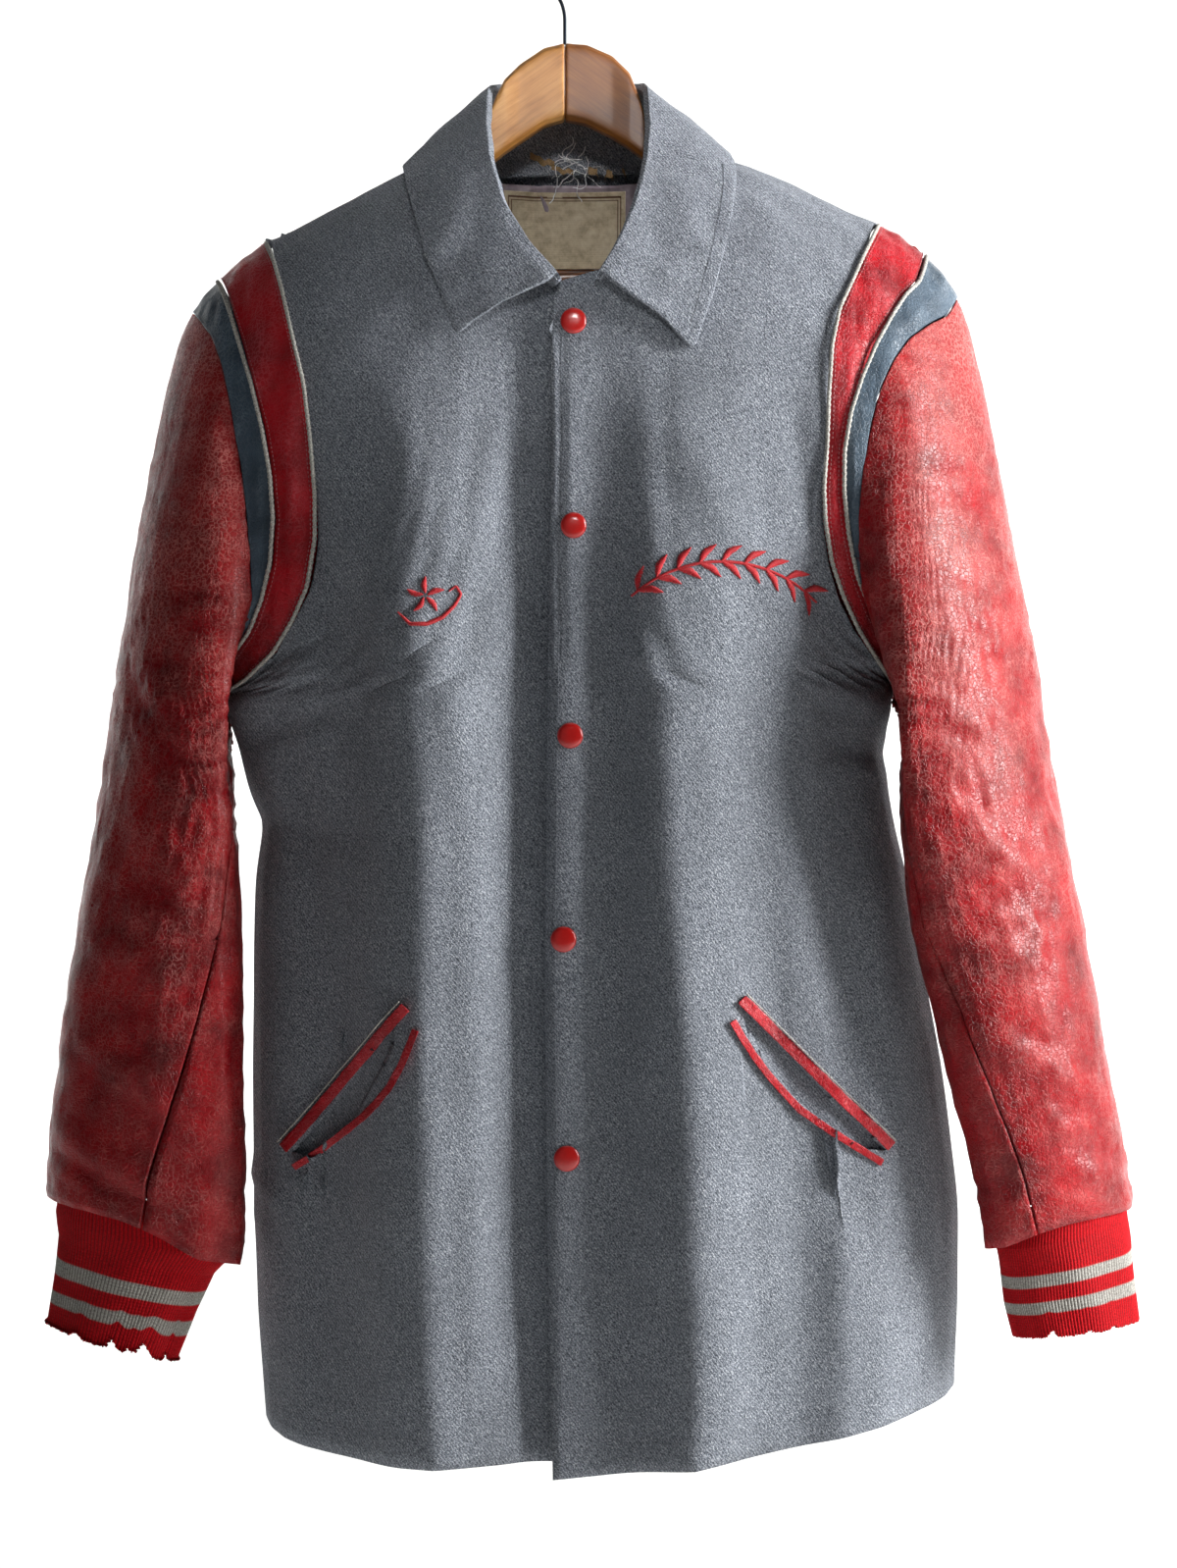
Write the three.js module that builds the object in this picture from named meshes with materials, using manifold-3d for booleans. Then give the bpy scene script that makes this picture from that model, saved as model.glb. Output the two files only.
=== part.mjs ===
// A hip-length wool and leather varsity jacket, snapped shut, hanging flat on a wooden hanger.
// Millimetres, +Z up, X to the right of someone who faces the front, the front faces -Y.
// The origin is the inside top of the hanger's wire hook.
import * as THREE from 'three';
import { mergeVertices } from 'three/addons/utils/BufferGeometryUtils.js';
import Module from 'manifold-3d';

const wasm = await Module();
wasm.setup();

// Cloth and leather thicknesses, and the gap kept at every seam
const woolWall = 2.6;
const leatherWall = 1.8;
const collarWall = 3.2;
const knitWall = 2.4;
const liningWall = 1.0;
const labelWall = 0.8;
const seamGap = 0.3;

// The corded piping in the armhole seams
const pipingRadius = 1.5;
const pipingLift = 0.6;
const bandPuff = 2.2;

// Roundness of the body's sections and of its shoulders
const bodyRoundness = 2.3;
const shoulderRadius = 110;

// The top of the shoulders, from the image-left side to the right
const shoulderRidge = [
  { x: -260, z: -290 },
  { x: -237, z: -250 },
  { x: -203, z: -213 },
  { x: -166, z: -194 },
  { x: -132, z: -176 },
  { x: -103, z: -161 },
  { x: -76, z: -148 },
  { x: -40, z: -132 },
  { x: 0, z: -127 },
  { x: 40, z: -131 },
  { x: 78, z: -146 },
  { x: 121, z: -159 },
  { x: 157, z: -176 },
  { x: 201, z: -195 },
  { x: 228, z: -213 },
  { x: 244, z: -232 },
  { x: 262, z: -280 },
];

// Sections of the body: height, side edges, depth before and behind the hook
const bodySections = [
  { z: -120, left: -246, right: 250, front: 78, back: 80 },
  { z: -250, left: -246, right: 250, front: 88, back: 86 },
  { z: -350, left: -240, right: 240, front: 94, back: 90 },
  { z: -440, left: -226, right: 220, front: 98, back: 92 },
  { z: -490, left: -217, right: 205, front: 100, back: 94 },
  { z: -522, left: -206, right: 199, front: 100, back: 94 },
  { z: -550, left: -199, right: 202, front: 100, back: 94 },
  { z: -570, left: -192, right: 206, front: 100, back: 95 },
  { z: -610, left: -196, right: 216, front: 101, back: 95 },
  { z: -733, left: -197, right: 238, front: 103, back: 96 },
  { z: -810, left: -196, right: 247, front: 105, back: 98 },
  { z: -880, left: -194, right: 247, front: 107, back: 100 },
  { z: -960, left: -189, right: 244, front: 109, back: 102 },
];

// Long soft folds: where each runs, how wide and how proud it is at its top and at the hem
const frontFolds = [
  { top: -250, xTop: -78, xHem: -87, width: 34, riseTop: 5, riseHem: 15 },
  { top: -300, xTop: -130, xHem: -140, width: 30, riseTop: -3, riseHem: -9 },
  { top: -280, xTop: -14, xHem: -20, width: 22, riseTop: -4, riseHem: -9 },
  { top: -300, xTop: 20, xHem: 34, width: 20, riseTop: -4, riseHem: -10 },
  { top: -280, xTop: 44, xHem: 76, width: 26, riseTop: 5, riseHem: 12 },
  { top: -420, xTop: 120, xHem: 128, width: 26, riseTop: -2, riseHem: -7 },
  { top: -500, xTop: 160, xHem: 178, width: 24, riseTop: 2, riseHem: 7 },
];
const backFolds = [
  { top: -330, xTop: -90, xHem: -104, width: 34, riseTop: 4, riseHem: 14 },
  { top: -300, xTop: -30, xHem: -38, width: 26, riseTop: -3, riseHem: -10 },
  { top: -320, xTop: 28, xHem: 36, width: 30, riseTop: 4, riseHem: 12 },
  { top: -360, xTop: 96, xHem: 112, width: 28, riseTop: -3, riseHem: -10 },
  { top: -420, xTop: 150, xHem: 172, width: 24, riseTop: 2, riseHem: 8 },
];
const foldEnd = -960;

// Armhole seams from the shoulder's top down to the underarm: the body's edge, the seam between
// the two leather bands, and the sleeve's edge
const leftArmhole = [
  { bodyX: -188, bodyZ: -205, pipeX: -218, pipeZ: -229, sleeveX: -236, sleeveZ: -249 },
  { bodyX: -180, bodyZ: -222, pipeX: -212, pipeZ: -240, sleeveX: -229, sleeveZ: -257 },
  { bodyX: -173, bodyZ: -244, pipeX: -206, pipeZ: -256, sleeveX: -220, sleeveZ: -269 },
  { bodyX: -165, bodyZ: -275, pipeX: -199, pipeZ: -277, sleeveX: -213, sleeveZ: -285 },
  { bodyX: -158, bodyZ: -303, pipeX: -191, pipeZ: -302, sleeveX: -207, sleeveZ: -306 },
  { bodyX: -154, bodyZ: -336, pipeX: -184, pipeZ: -330, sleeveX: -202, sleeveZ: -331 },
  { bodyX: -151, bodyZ: -371, pipeX: -179, pipeZ: -358, sleeveX: -197, sleeveZ: -358 },
  { bodyX: -151, bodyZ: -398, pipeX: -177, pipeZ: -385, sleeveX: -194, sleeveZ: -385 },
  { bodyX: -156, bodyZ: -427, pipeX: -179, pipeZ: -412, sleeveX: -192, sleeveZ: -409 },
  { bodyX: -165, bodyZ: -447, pipeX: -185, pipeZ: -434, sleeveX: -191, sleeveZ: -431 },
  { bodyX: -177, bodyZ: -466, pipeX: -193, pipeZ: -452, sleeveX: -195, sleeveZ: -447 },
  { bodyX: -194, bodyZ: -481, pipeX: -204, pipeZ: -467, sleeveX: -207, sleeveZ: -458 },
  { bodyX: -207, bodyZ: -488, pipeX: -216, pipeZ: -475, sleeveX: -220, sleeveZ: -465 },
  { bodyX: -217, bodyZ: -491, pipeX: -226, pipeZ: -479, sleeveX: -231, sleeveZ: -468 },
];
const rightArmhole = [
  { bodyX: 196, bodyZ: -193, pipeX: 226, pipeZ: -211, sleeveX: 247, sleeveZ: -240 },
  { bodyX: 187, bodyZ: -212, pipeX: 218, pipeZ: -235, sleeveX: 238, sleeveZ: -254 },
  { bodyX: 175, bodyZ: -238, pipeX: 208, pipeZ: -246, sleeveX: 225, sleeveZ: -262 },
  { bodyX: 166, bodyZ: -257, pipeX: 199, pipeZ: -260, sleeveX: 211, sleeveZ: -273 },
  { bodyX: 161, bodyZ: -280, pipeX: 189, pipeZ: -278, sleeveX: 200, sleeveZ: -288 },
  { bodyX: 159, bodyZ: -310, pipeX: 180, pipeZ: -299, sleeveX: 191, sleeveZ: -307 },
  { bodyX: 158, bodyZ: -340, pipeX: 173, pipeZ: -321, sleeveX: 185, sleeveZ: -331 },
  { bodyX: 156, bodyZ: -368, pipeX: 169, pipeZ: -345, sleeveX: 180, sleeveZ: -357 },
  { bodyX: 157, bodyZ: -388, pipeX: 169, pipeZ: -370, sleeveX: 178, sleeveZ: -384 },
  { bodyX: 161, bodyZ: -412, pipeX: 173, pipeZ: -395, sleeveX: 178, sleeveZ: -408 },
  { bodyX: 168, bodyZ: -432, pipeX: 180, pipeZ: -418, sleeveX: 181, sleeveZ: -430 },
  { bodyX: 178, bodyZ: -452, pipeX: 190, pipeZ: -441, sleeveX: 190, sleeveZ: -448 },
  { bodyX: 192, bodyZ: -472, pipeX: 203, pipeZ: -462, sleeveX: 205, sleeveZ: -460 },
  { bodyX: 207, bodyZ: -486, pipeX: 216, pipeZ: -474, sleeveX: 221, sleeveZ: -463 },
];
// The seams behind lie a little further out and the bands stand off the chest lower down
const backArmholeOut = 7;
const bandLift = { bodyX: 0, pipeX: 4, sleeveX: 11 };

// Inner edges of the front panels, neckline then opening, and how far each row follows the
// shoulder; below the armhole each row ends at the side seam at zOut
const leftOpening = [
  { xIn: -76, zIn: -148, ride: 1 },
  { xIn: -76, zIn: -155, ride: 1 },
  { xIn: -74, zIn: -168, ride: 0.9 },
  { xIn: -66, zIn: -188, ride: 0.75 },
  { xIn: -51, zIn: -212, ride: 0.5 },
  { xIn: -28, zIn: -236, ride: 0.3 },
  { xIn: 12, zIn: -248, ride: 0.15 },
  { xIn: 13, zIn: -290, ride: 0 },
  { xIn: 13, zIn: -330, ride: 0 },
  { xIn: 13, zIn: -370, ride: 0 },
  { xIn: 13, zIn: -410, ride: 0 },
  { xIn: 13, zIn: -445, ride: 0 },
  { xIn: 12, zIn: -472, ride: 0 },
  { xIn: 12, zIn: -496, ride: 0 },
  { xIn: 12, zIn: -530, zOut: -522, ride: 0 },
  { xIn: 12, zIn: -556, zOut: -548, ride: 0 },
  { xIn: 12, zIn: -578, zOut: -570, ride: 0 },
  { xIn: 12, zIn: -612, zOut: -606, ride: 0 },
  { xIn: 12, zIn: -670, zOut: -664, ride: 0 },
  { xIn: 13, zIn: -740, zOut: -733, ride: 0 },
  { xIn: 14, zIn: -815, zOut: -806, ride: 0 },
  { xIn: 15, zIn: -885, zOut: -872, ride: 0 },
  { xIn: 16, zIn: -951, zOut: -936, ride: 0 },
];
const rightOpening = [
  { xIn: 78, zIn: -146, ride: 1 },
  { xIn: 78, zIn: -153, ride: 1 },
  { xIn: 76, zIn: -166, ride: 0.9 },
  { xIn: 69, zIn: -186, ride: 0.75 },
  { xIn: 55, zIn: -210, ride: 0.5 },
  { xIn: 34, zIn: -232, ride: 0.3 },
  { xIn: -6, zIn: -244, ride: 0.15 },
  { xIn: -9, zIn: -290, ride: 0 },
  { xIn: -8, zIn: -330, ride: 0 },
  { xIn: -9, zIn: -370, ride: 0 },
  { xIn: -10, zIn: -410, ride: 0 },
  { xIn: -10, zIn: -445, ride: 0 },
  { xIn: -11, zIn: -472, ride: 0 },
  { xIn: -11, zIn: -496, ride: 0 },
  { xIn: -12, zIn: -530, zOut: -520, ride: 0 },
  { xIn: -12, zIn: -557, zOut: -546, ride: 0 },
  { xIn: -12, zIn: -584, zOut: -572, ride: 0 },
  { xIn: -13, zIn: -622, zOut: -608, ride: 0 },
  { xIn: -13, zIn: -684, zOut: -666, ride: 0 },
  { xIn: -12, zIn: -756, zOut: -733, ride: 0 },
  { xIn: -11, zIn: -834, zOut: -806, ride: 0 },
  { xIn: -9, zIn: -902, zOut: -868, ride: 0 },
  { xIn: -8, zIn: -961, zOut: -918, ride: 0 },
];
// The back from the shoulders down: how far each row follows the shoulder, then its side seams
const backRide = [1, 1, 0.9, 0.75, 0.5, 0.3, 0.15, 0, 0, 0, 0, 0, 0, 0];
const backSides = [
  { left: -522, right: -520 },
  { left: -548, right: -546 },
  { left: -570, right: -572 },
  { left: -606, right: -608 },
  { left: -664, right: -666 },
  { left: -733, right: -733 },
  { left: -806, right: -806 },
  { left: -872, right: -868 },
  { left: -936, right: -918 },
];
const backNeck = { half: 77, drop: -149 };
const backHemDip = { at: 0.5, by: -20 };
// The hem dips below the straight line between its two ends by these amounts, or rises above it
const leftHemDip = { at: 0.55, by: -9 };
const rightHemDip = { at: 0.6, by: 4 };

const overlap = { from: -62, to: -34, sink: 5.8 };

function mix(a, b, t) {
  return a + (b - a) * t;
}

// Smooth value of one column of a table at a fractional row
function column(rows, name, at) {
  const last = rows.length - 1;
  if (at <= 0) {
    return rows[0][name] + (rows[1][name] - rows[0][name]) * at;
  }
  if (at >= last) {
    return rows[last][name] + (rows[last][name] - rows[last - 1][name]) * (at - last);
  }
  const i = Math.floor(at);
  const t = at - i;
  const p0 = rows[Math.max(i - 1, 0)][name];
  const p1 = rows[i][name];
  const p2 = rows[i + 1][name];
  const p3 = rows[Math.min(i + 2, last)][name];
  const limit = 3 * Math.min(Math.abs(p1 - p0), Math.abs(p2 - p1));
  const limitNext = 3 * Math.min(Math.abs(p2 - p1), Math.abs(p3 - p2));
  const slope = Math.max(-limit, Math.min(limit, (p2 - p0) / 2));
  const slopeNext = Math.max(-limitNext, Math.min(limitNext, (p3 - p1) / 2));
  const bend = t * (1 - t) * ((1 - t) * slope - t * slopeNext);
  return p1 + (p2 - p1) * t * t * (3 - 2 * t) + bend;
}

// Fractional row of a table whose key column rises or falls steadily
function rowAt(rows, key, value) {
  const rising = rows[rows.length - 1][key] > rows[0][key];
  for (let i = 0; i < rows.length - 1; i += 1) {
    const from = rows[i][key];
    const to = rows[i + 1][key];
    const inside = rising ? value <= to : value >= to;
    if (inside || i === rows.length - 2) {
      return Math.max(0, Math.min(rows.length - 1, i + (value - from) / (to - from)));
    }
  }
  return 0;
}

function ridgeAt(x) {
  return column(shoulderRidge, 'z', rowAt(shoulderRidge, 'x', x));
}

function sectionAt(z) {
  const at = rowAt(bodySections, 'z', z);
  const left = column(bodySections, 'left', at);
  const right = column(bodySections, 'right', at);
  return {
    centre: (left + right) / 2,
    half: (right - left) / 2,
    front: column(bodySections, 'front', at),
    back: column(bodySections, 'back', at),
  };
}

function foldHeight(folds, x, z) {
  let height = 0;
  for (const fold of folds) {
    const down = (fold.top - z) / (fold.top - foldEnd);
    if (down > 0) {
      const along = Math.min(1, down);
      const away = (x - mix(fold.xTop, fold.xHem, along)) / fold.width;
      const fadeIn = Math.min(1, along * 5);
      height += mix(fold.riseTop, fold.riseHem, along) * fadeIn * Math.exp(-away * away);
    }
  }
  return height;
}

// Distance over the cloth from the shoulder's top, and the drop that it makes
function dropOf(travel) {
  const quarter = (shoulderRadius * Math.PI) / 2;
  const length = Math.abs(travel);
  if (length < quarter) {
    return shoulderRadius * (1 - Math.cos(length / shoulderRadius));
  }
  return shoulderRadius + length - quarter;
}

function travelOf(drop) {
  if (drop <= 0) {
    return 0;
  }
  if (drop < shoulderRadius) {
    return shoulderRadius * Math.acos(1 - drop / shoulderRadius);
  }
  return (shoulderRadius * Math.PI) / 2 + drop - shoulderRadius;
}

// A point of the body's outer surface; side is 1 in front and -1 behind
function bodyPoint(x, travel, side, sink = 0, angle = null) {
  const z = ridgeAt(x) - dropOf(travel);
  const facing = side * (travel < 0 ? -1 : 1);
  const section = sectionAt(z);
  const across = Math.min(1, Math.abs((x - section.centre) / section.half));
  const roundness = angle === null
    ? (1 - across ** bodyRoundness) ** (1 / bodyRoundness)
    : Math.cos(angle) ** (2 / bodyRoundness);
  const turn = Math.sin(Math.min(Math.PI / 2, Math.abs(travel) / shoulderRadius));
  const depth = facing > 0 ? section.front : section.back;
  const folds = foldHeight(facing > 0 ? frontFolds : backFolds, x, z);
  const reach = (depth + folds) * roundness * turn - sink;
  return new THREE.Vector3(x, -facing * reach, z);
}

function onBody(x, z, side, sink = 0) {
  return bodyPoint(x, travelOf(ridgeAt(x) - z), side, sink);
}

function angleAcross(x, z) {
  const section = sectionAt(z);
  const across = Math.max(-1, Math.min(1, (x - section.centre) / section.half));
  return Math.sign(across) * Math.asin(Math.abs(across) ** (bodyRoundness / 2));
}

// The rows of a panel's outer edge: the armhole first, then the side seam
function outerEdge(rows, armhole, shift) {
  return rows.map((row, i) => {
    if (i >= armhole.length) {
      return { ...row, angleOut: (Math.sign(armhole[0].bodyX) * Math.PI) / 2 };
    }
    const part = i / (armhole.length - 1);
    const x = armhole[i].bodyX + shift * Math.sign(armhole[0].bodyX) * Math.sin(Math.PI * part);
    return { ...row, zOut: armhole[i].bodyZ, angleOut: angleAcross(x, armhole[i].bodyZ) };
  });
}

function acrossSection(section, angle) {
  const spread = Math.abs(Math.sin(angle)) ** (2 / bodyRoundness);
  return section.centre + section.half * Math.sign(angle) * spread;
}

// Travel over the shoulder at an end of a row; the first row lies on the shoulder's top
function travelAtEnd(rows, name, x, t) {
  if (t < 0) {
    return -travelAtEnd(rows, name, x, -t);
  }
  const drop = ridgeAt(x) - column(rows, name, t);
  const onTop = Math.max(0, 1 - t);
  return seamGap + travelOf(drop * (1 - onTop));
}

// A row of a panel between two ends, as a point of the body
function rowPoint(ends, s, side, ride, dip, sink) {
  let angle = mix(ends.angleFrom, ends.angleTo, s);
  let facing = side;
  if (Math.abs(angle) > Math.PI / 2) {
    angle = Math.sign(angle) * Math.PI - angle;
    facing = -side;
  }
  const section = sectionAt(mix(ends.zFrom, ends.zTo, s));
  const x = acrossSection(section, angle);
  const straight = ridgeAt(x) - mix(ridgeAt(ends.xFrom), ridgeAt(ends.xTo), s);
  const travel = mix(ends.travelFrom, ends.travelTo, s) + (1 - ride) * straight - dip;
  return bodyPoint(x, travel, facing, sink ? sink(x) : 0, angle);
}

function hemDip(shape, s, t, last) {
  const near = Math.max(0, 1 - (last - t) / 2.2);
  const along = Math.max(0, Math.min(1, s)) ** (Math.log(0.5) / Math.log(shape.at));
  return shape.by * near * Math.sin(Math.PI * along);
}

function frontPoint(rows, s, t, dip, sink) {
  const zFrom = column(rows, 'zIn', t);
  const xFrom = column(rows, 'xIn', t);
  const zTo = column(rows, 'zOut', t);
  const angleTo = column(rows, 'angleOut', t);
  const xTo = acrossSection(sectionAt(zTo), angleTo);
  const ends = {
    xFrom,
    zFrom,
    angleFrom: angleAcross(xFrom, zFrom),
    travelFrom: travelAtEnd(rows, 'zIn', xFrom, t),
    xTo,
    zTo,
    angleTo,
    travelTo: travelAtEnd(rows, 'zOut', xTo, t),
  };
  const ride = Math.min(1, column(rows, 'ride', t));
  return rowPoint(ends, s, 1, ride, hemDip(dip, s, t, rows.length - 1), sink);
}

function backPoint(rows, s, t) {
  const last = rows.length - 1;
  const zFrom = column(rows, 'zLeft', t);
  const angleFrom = column(rows, 'angleLeft', t);
  const xFrom = acrossSection(sectionAt(zFrom), angleFrom);
  const zTo = column(rows, 'zRight', t);
  const angleTo = column(rows, 'angleRight', t);
  const xTo = acrossSection(sectionAt(zTo), angleTo);
  const ends = {
    xFrom,
    zFrom,
    angleFrom,
    travelFrom: travelAtEnd(rows, 'zLeft', xFrom, t),
    xTo,
    zTo,
    angleTo,
    travelTo: travelAtEnd(rows, 'zRight', xTo, t),
  };
  const ride = Math.min(1, column(rows, 'ride', t));
  const x = acrossSection(sectionAt(mix(zFrom, zTo, s)), mix(angleFrom, angleTo, s));
  const neck = Math.max(0, 1 - (x / backNeck.half) ** 4) * Math.max(0, 1 - Math.max(0, t) / 4);
  const dip = hemDip(backHemDip, s, t, last) - neck * travelOf(ridgeAt(x) - backNeck.drop);
  return rowPoint(ends, s, -1, ride, dip, null);
}

// A point of an armhole seam; u runs from the shoulder down the front to 1 and up the back to 2
function seamPoint(armhole, name, u) {
  const turn = ((u % 2) + 2) % 2;
  const front = turn <= 1;
  const down = front ? turn : 2 - turn;
  const at = down * (armhole.length - 1);
  const out = front ? 0 : backArmholeOut * Math.sign(armhole[0].bodyX) * Math.sin(Math.PI * down);
  const x = column(armhole, `${name}X`, at) + out;
  const z = column(armhole, `${name}Z`, at);
  const point = onBody(x, z, front ? 1 : -1);
  const lift = bandLift[`${name}X`] * 6.75 * down * down * (1 - down);
  point.y += front ? -lift : lift;
  return point;
}

// Directions away from the cloth on the two sides of an armhole seam
function seamSquares(side, name, u) {
  const { armhole, away } = side;
  const between = (from, to, at) => {
    const surface = (s, t) => seamPoint(armhole, from, s).lerp(seamPoint(armhole, to, s), t);
    return squareTo(surface, u, at, 0.02).multiplyScalar(away);
  };
  if (name === 'pipe') {
    return [between('body', 'pipe', 1), between('pipe', 'sleeve', 0)];
  }
  if (name === 'sleeve') {
    const sleeve = squareTo((d, t) => sleevePoint(side, d, t), u * 180, 0.15, 2, 0.1);
    return [between('pipe', 'sleeve', 1), sleeve.multiplyScalar(away)];
  }
  const step = 1.5;
  const front = ((u % 2) + 2) % 2 <= 1 ? 1 : -1;
  const { x, z } = seamPoint(armhole, name, u);
  const acrossBody = onBody(x + step, z, front).sub(onBody(x - step, z, front));
  const upBody = onBody(x, z + step, front).sub(onBody(x, z - step, front));
  return [acrossBody.cross(upBody).normalize().multiplyScalar(front), between('body', 'pipe', 0)];
}

// The direction that the pieces on both sides of a seam share
function seamSquare(side, name, u) {
  const [one, other] = seamSquares(side, name, u);
  return one.add(other).normalize();
}

// A closed mesh from vertices and triangles
function solid(vertices, triangles) {
  let geometry = new THREE.BufferGeometry();
  const flat = new Float32Array(vertices.length * 3);
  vertices.forEach((v, i) => v.toArray(flat, i * 3));
  geometry.setAttribute('position', new THREE.BufferAttribute(flat, 3));
  geometry.setIndex(triangles);
  geometry = mergeVertices(geometry, 1e-3);
  const index = Array.from(geometry.index.array);
  const kept = [];
  for (let i = 0; i < index.length; i += 3) {
    const [a, b, c] = index.slice(i, i + 3);
    if (a !== b && b !== c && a !== c) {
      kept.push(a, b, c);
    }
  }
  geometry.setIndex(kept);
  return geometry;
}

// A wall of cloth between an outer and an inner grid of points with the same rows and columns
function wall(outer, inner, closed = false) {
  const rows = outer.length;
  const columns = outer[0].length;
  const vertices = [...outer.flat(), ...inner.flat()];
  const triangles = [];
  const at = (i, j, layer) => layer * rows * columns + i * columns + (j % columns);
  const quad = (a, b, c, d) => triangles.push(a, b, c, a, c, d);
  const spans = closed ? columns : columns - 1;
  for (let i = 0; i < rows - 1; i += 1) {
    for (let j = 0; j < spans; j += 1) {
      quad(at(i, j, 0), at(i + 1, j, 0), at(i + 1, j + 1, 0), at(i, j + 1, 0));
      quad(at(i, j, 1), at(i, j + 1, 1), at(i + 1, j + 1, 1), at(i + 1, j, 1));
    }
  }
  for (let j = 0; j < spans; j += 1) {
    quad(at(0, j, 0), at(0, j + 1, 0), at(0, j + 1, 1), at(0, j, 1));
    const end = rows - 1;
    quad(at(end, j, 0), at(end, j, 1), at(end, j + 1, 1), at(end, j + 1, 0));
  }
  if (!closed) {
    for (let i = 0; i < rows - 1; i += 1) {
      const end = columns - 1;
      quad(at(i, 0, 0), at(i, 0, 1), at(i + 1, 0, 1), at(i + 1, 0, 0));
      quad(at(i, end, 0), at(i + 1, end, 0), at(i + 1, end, 1), at(i, end, 1));
    }
  }
  return outwardFacing(solid(vertices, triangles));
}

function volumeOf(geometry) {
  const p = geometry.attributes.position;
  const index = geometry.index.array;
  const [a, b, c] = [new THREE.Vector3(), new THREE.Vector3(), new THREE.Vector3()];
  let volume = 0;
  for (let i = 0; i < index.length; i += 3) {
    a.fromBufferAttribute(p, index[i]);
    b.fromBufferAttribute(p, index[i + 1]);
    c.fromBufferAttribute(p, index[i + 2]);
    volume += a.dot(b.cross(c)) / 6;
  }
  return volume;
}

function outwardFacing(geometry) {
  if (volumeOf(geometry) < 0) {
    const index = Array.from(geometry.index.array);
    for (let i = 0; i < index.length; i += 3) {
      [index[i + 1], index[i + 2]] = [index[i + 2], index[i + 1]];
    }
    geometry.setIndex(index);
  }
  return geometry;
}

// Direction square to a surface that is given as a function of two numbers
function squareTo(surface, s, t, ds = 0.002, dt = 0.02) {
  const across = surface(s + ds, t).sub(surface(s - ds, t));
  const along = surface(s, t + dt).sub(surface(s, t - dt));
  return across.cross(along).normalize();
}

// A wall whose outer face is a surface; lift moves it off that surface
function wallOn(surface, sList, tList, thickness, away, extra = {}) {
  const lift = extra.lift ?? (() => 0);
  const square = extra.square ?? ((s, t) => squareTo(surface, s, t).multiplyScalar(away));
  const outer = [];
  const inner = [];
  for (const t of tList) {
    const outerRow = [];
    const innerRow = [];
    for (const s of sList) {
      const point = surface(s, t);
      const normal = square(s, t);
      outerRow.push(point.clone().addScaledVector(normal, lift(s, t)));
      innerRow.push(point.clone().addScaledVector(normal, lift(s, t) - thickness));
    }
    outer.push(outerRow);
    inner.push(innerRow);
  }
  return wall(outer, inner, extra.closed);
}

function steps(from, to, count) {
  return Array.from({ length: count + 1 }, (_, i) => mix(from, to, i / count));
}

// A closed body lofted through rings of points, with a flat or pointed end at each side
function loft(rings) {
  const count = rings[0].length;
  const vertices = rings.flat();
  const triangles = [];
  for (let i = 0; i < rings.length - 1; i += 1) {
    for (let j = 0; j < count; j += 1) {
      const next = (j + 1) % count;
      const [a, b] = [i * count + j, i * count + next];
      triangles.push(a, a + count, b + count, a, b + count, b);
    }
  }
  for (const end of [0, rings.length - 1]) {
    const middle = new THREE.Vector3();
    rings[end].forEach((v) => middle.addScaledVector(v, 1 / count));
    vertices.push(middle);
    for (let j = 0; j < count; j += 1) {
      const pair = [end * count + j, end * count + ((j + 1) % count)];
      const [a, b] = end === 0 ? pair : pair.reverse();
      triangles.push(vertices.length - 1, a, b);
    }
  }
  return outwardFacing(solid(vertices, triangles));
}

// A closed ring of cord through points, with its own side directions
function cordRing(points, sides, radius) {
  const vertices = [];
  const triangles = [];
  const count = points.length;
  points.forEach((place, i) => {
    const along = points[(i + 1) % count].at.clone().sub(points[(i + count - 1) % count].at);
    const out = place.out.clone();
    const side = along.clone().cross(out).normalize();
    for (let j = 0; j < sides; j += 1) {
      const turn = (2 * Math.PI * j) / sides;
      vertices.push(place.at.clone()
        .addScaledVector(out, radius * Math.cos(turn))
        .addScaledVector(side, radius * Math.sin(turn)));
    }
  });
  for (let i = 0; i < count; i += 1) {
    for (let j = 0; j < sides; j += 1) {
      const a = i * sides + j;
      const b = i * sides + ((j + 1) % sides);
      const c = ((i + 1) % count) * sides + ((j + 1) % sides);
      const d = ((i + 1) % count) * sides + j;
      triangles.push(a, b, c, a, c, d);
    }
  }
  return outwardFacing(solid(vertices, triangles));
}

function asManifold(geometry) {
  const bare = geometry.clone();
  bare.deleteAttribute('normal');
  const merged = mergeVertices(bare, 1e-3);
  return new wasm.Manifold(new wasm.Mesh({
    numProp: 3,
    vertProperties: merged.attributes.position.array,
    triVerts: new Uint32Array(merged.index.array),
  }));
}

// The largest body left, as a geometry
function fromManifold(body) {
  const pieces = body.decompose();
  pieces.sort((a, b) => b.volume() - a.volume());
  const mesh = pieces[0].getMesh();
  const geometry = new THREE.BufferGeometry();
  geometry.setAttribute('position', new THREE.BufferAttribute(Float32Array.from(mesh.vertProperties), 3));
  geometry.setIndex(Array.from(mesh.triVerts));
  return geometry;
}

// A piece with the room that other pieces need cut out of it
function cutBy(geometry, tools) {
  let body = asManifold(geometry);
  for (const tool of tools) {
    body = body.subtract(asManifold(tool));
  }
  return fromManifold(body);
}

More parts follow.
